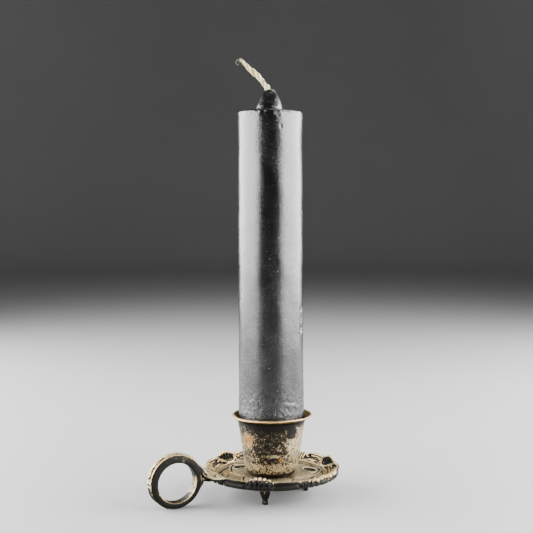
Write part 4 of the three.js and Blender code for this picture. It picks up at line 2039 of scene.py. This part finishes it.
def spots_of_pan(plan: Plan) -> tuple[Spot, ...]:
    """Lists the warm and the dull places on the pan.

    Args:
        plan: The frame's places.

    Returns:
        The spots.
    """
    height = plan.pan_under + 2
    return (
        Spot(plan.polar(150, 24, height), (0.006, 0.006, 0.004), 0.06, (0.50, 0.36, 0.18)),
        Spot(plan.polar(95, 27, height), (0.008, 0.006, 0.004), 0.07),
        Spot(plan.polar(30, 26, height), (0.008, 0.008, 0.004), 0.05),
        *(
            Spot(
                plan.polar(plan.foot_turn + 120 * foot + turn, 24.5, height - 0.6), (size, size, 0.003),
                -0.27
            )
            for foot in range(3)
            for turn, size in ((0, 0.0047), (36, 0.0026), (-36, 0.0026))
        ),
    )


def spots_of_neck(plan: Plan) -> tuple[Spot, ...]:
    """Lists a paler place on the neck that takes the painted side shade back off it, a painted highlight on
    top of the ring and painted shade under it.

    Args:
        plan: The frame's places.

    Returns:
        The spots.
    """
    return (
        # Paler neck, lifting it out of the painted side shade.
        Spot(plan.polar(180, plan.rim_radius + 2.4, plan.rim_low + 4), (0.0055, 0.0060, 0.0050), 0.16),
        # Painted highlight on top of the ring.
        Spot(plan.polar(180, plan.rim_radius + 17, 32), (0.014, 0.010, 0.006), 0.12),
        # Painted shade under the ring.
        Spot(plan.polar(180, plan.rim_radius + 17, 2), (0.018, 0.010, 0.006), -0.12),
    )


def build_holder(plan: Plan) -> SocketCup:
    """Models and dresses everything that is metal.

    Args:
        plan: The frame's places.

    Returns:
        The cup, which the candle is pared to.
    """
    pan, border, cup = DripPan(plan), RimBorder(plan), SocketCup(plan)
    handle, foot = RingHandle(plan), Foot(plan)
    middle = plan.polar(0, 0, 0)
    skirt = (pan.upper_height(plan.pan_radius) + 1.7) * MM
    pan_metal = PlatedBrass(
        "pan_metal", tone=0.14, relief_weight=1.1, brass_share=0.15, crackle_depth=0.12, pit_depth=0.2,
        spots=spots_of_pan(plan),
    ).make()
    border_metal = PlatedBrass(
        "border_metal", relief_weight=0.6, brass_share=0.6, centre=middle, skirt_patina_and_shade=0.6,
        skirt_height=skirt,
        spots=hollows_of_border(plan, pan.upper_height(plan.pan_radius)),
    ).make()
    cup_metal = PlatedBrass(
        "cup_metal", tone=0.02, brass_share=0.35, crackle_depth=0.22, pit_depth=0.22, centre=middle,
        painted_inner_shade=0.3, spots=spots_of_cup(plan),
    ).make()
    handle_metal = PlatedBrass(
        "handle_metal", tone=0.04, relief_weight=0.6, brass_share=0.5, painted_side_shade=0.26,
        spots=spots_of_neck(plan)
    ).make()
    foot_metal = PlatedBrass("foot_metal", tone=-0.2, relief_weight=0.55, brass_share=0.2).make()
    finish_piece(pan.build(), pan_metal, Body.HOLDER, Slot.PLATED_BRASS, "drip_pan")
    finish_piece(border.build(pan), border_metal, Body.HOLDER, Slot.PLATED_BRASS, "rim_border")
    finish_piece(cup.build(), cup_metal, Body.HOLDER, Slot.PLATED_BRASS, "socket_cup")
    finish_piece(
        handle.build(pan.upper_height(plan.pan_radius)), handle_metal, Body.HOLDER, Slot.PLATED_BRASS,
        "ring_handle"
    )
    for node, centre in zip(("foot_right", "foot_back", "foot_front"), plan.feet):
        finish_piece(foot.build(f"cast_{node}", centre), foot_metal, Body.HOLDER, Slot.PLATED_BRASS, node)
    steel = DarkSteel().make()
    for node in ("socket_screw", "socket_washer", "socket_nut"):
        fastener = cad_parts[node]
        fastener.data.materials.clear()
        fastener.data.materials.append(steel)
    return cup


def build_candle(plan: Plan, cup: SocketCup) -> None:
    """Models and dresses the candle and its wick.

    Args:
        plan: The frame's places.
        cup: The cup that the candle stands in.
    """
    candle, wick = Candle(plan), Wick(plan)
    cotton = BraidedCotton("braided_cotton").make()
    # The loose thread's dark greys are painted shade.
    shaded_grey = BraidedCotton(
        "shaded_grey_thread", (0.42, 0.42, 0.41), (0.20, 0.20, 0.20), (0.08, 0.08, 0.08), (0.55, 0.55, 0.53)
    ).make()
    finish_piece(candle.build(cup), BlackWax().make(), Body.CANDLE, Slot.WAX, "candle")
    braid, line = wick.build()
    finish_piece(braid, cotton, Body.CANDLE, Slot.COTTON, "wick")
    fray = wick.fray(line)
    finish_piece(fray, cotton, Body.CANDLE, Slot.COTTON)
    thread = wick.loose_thread()
    finish_piece(thread, shaded_grey, Body.CANDLE, Slot.COTTON)
    mouth = tuple(float(c) for c in wick.leaning(wick.offset, plan.candle_top) * MM)


def main() -> None:
    """Builds the studio, the holder and the candle in order."""
    logging.basicConfig(level=logging.INFO, format="%(name)s %(message)s")
    plan = Plan.read()
    Studio(plan).build()
    cup = build_holder(plan)
    build_candle(plan, cup)


if __name__ == "__main__":
    main()
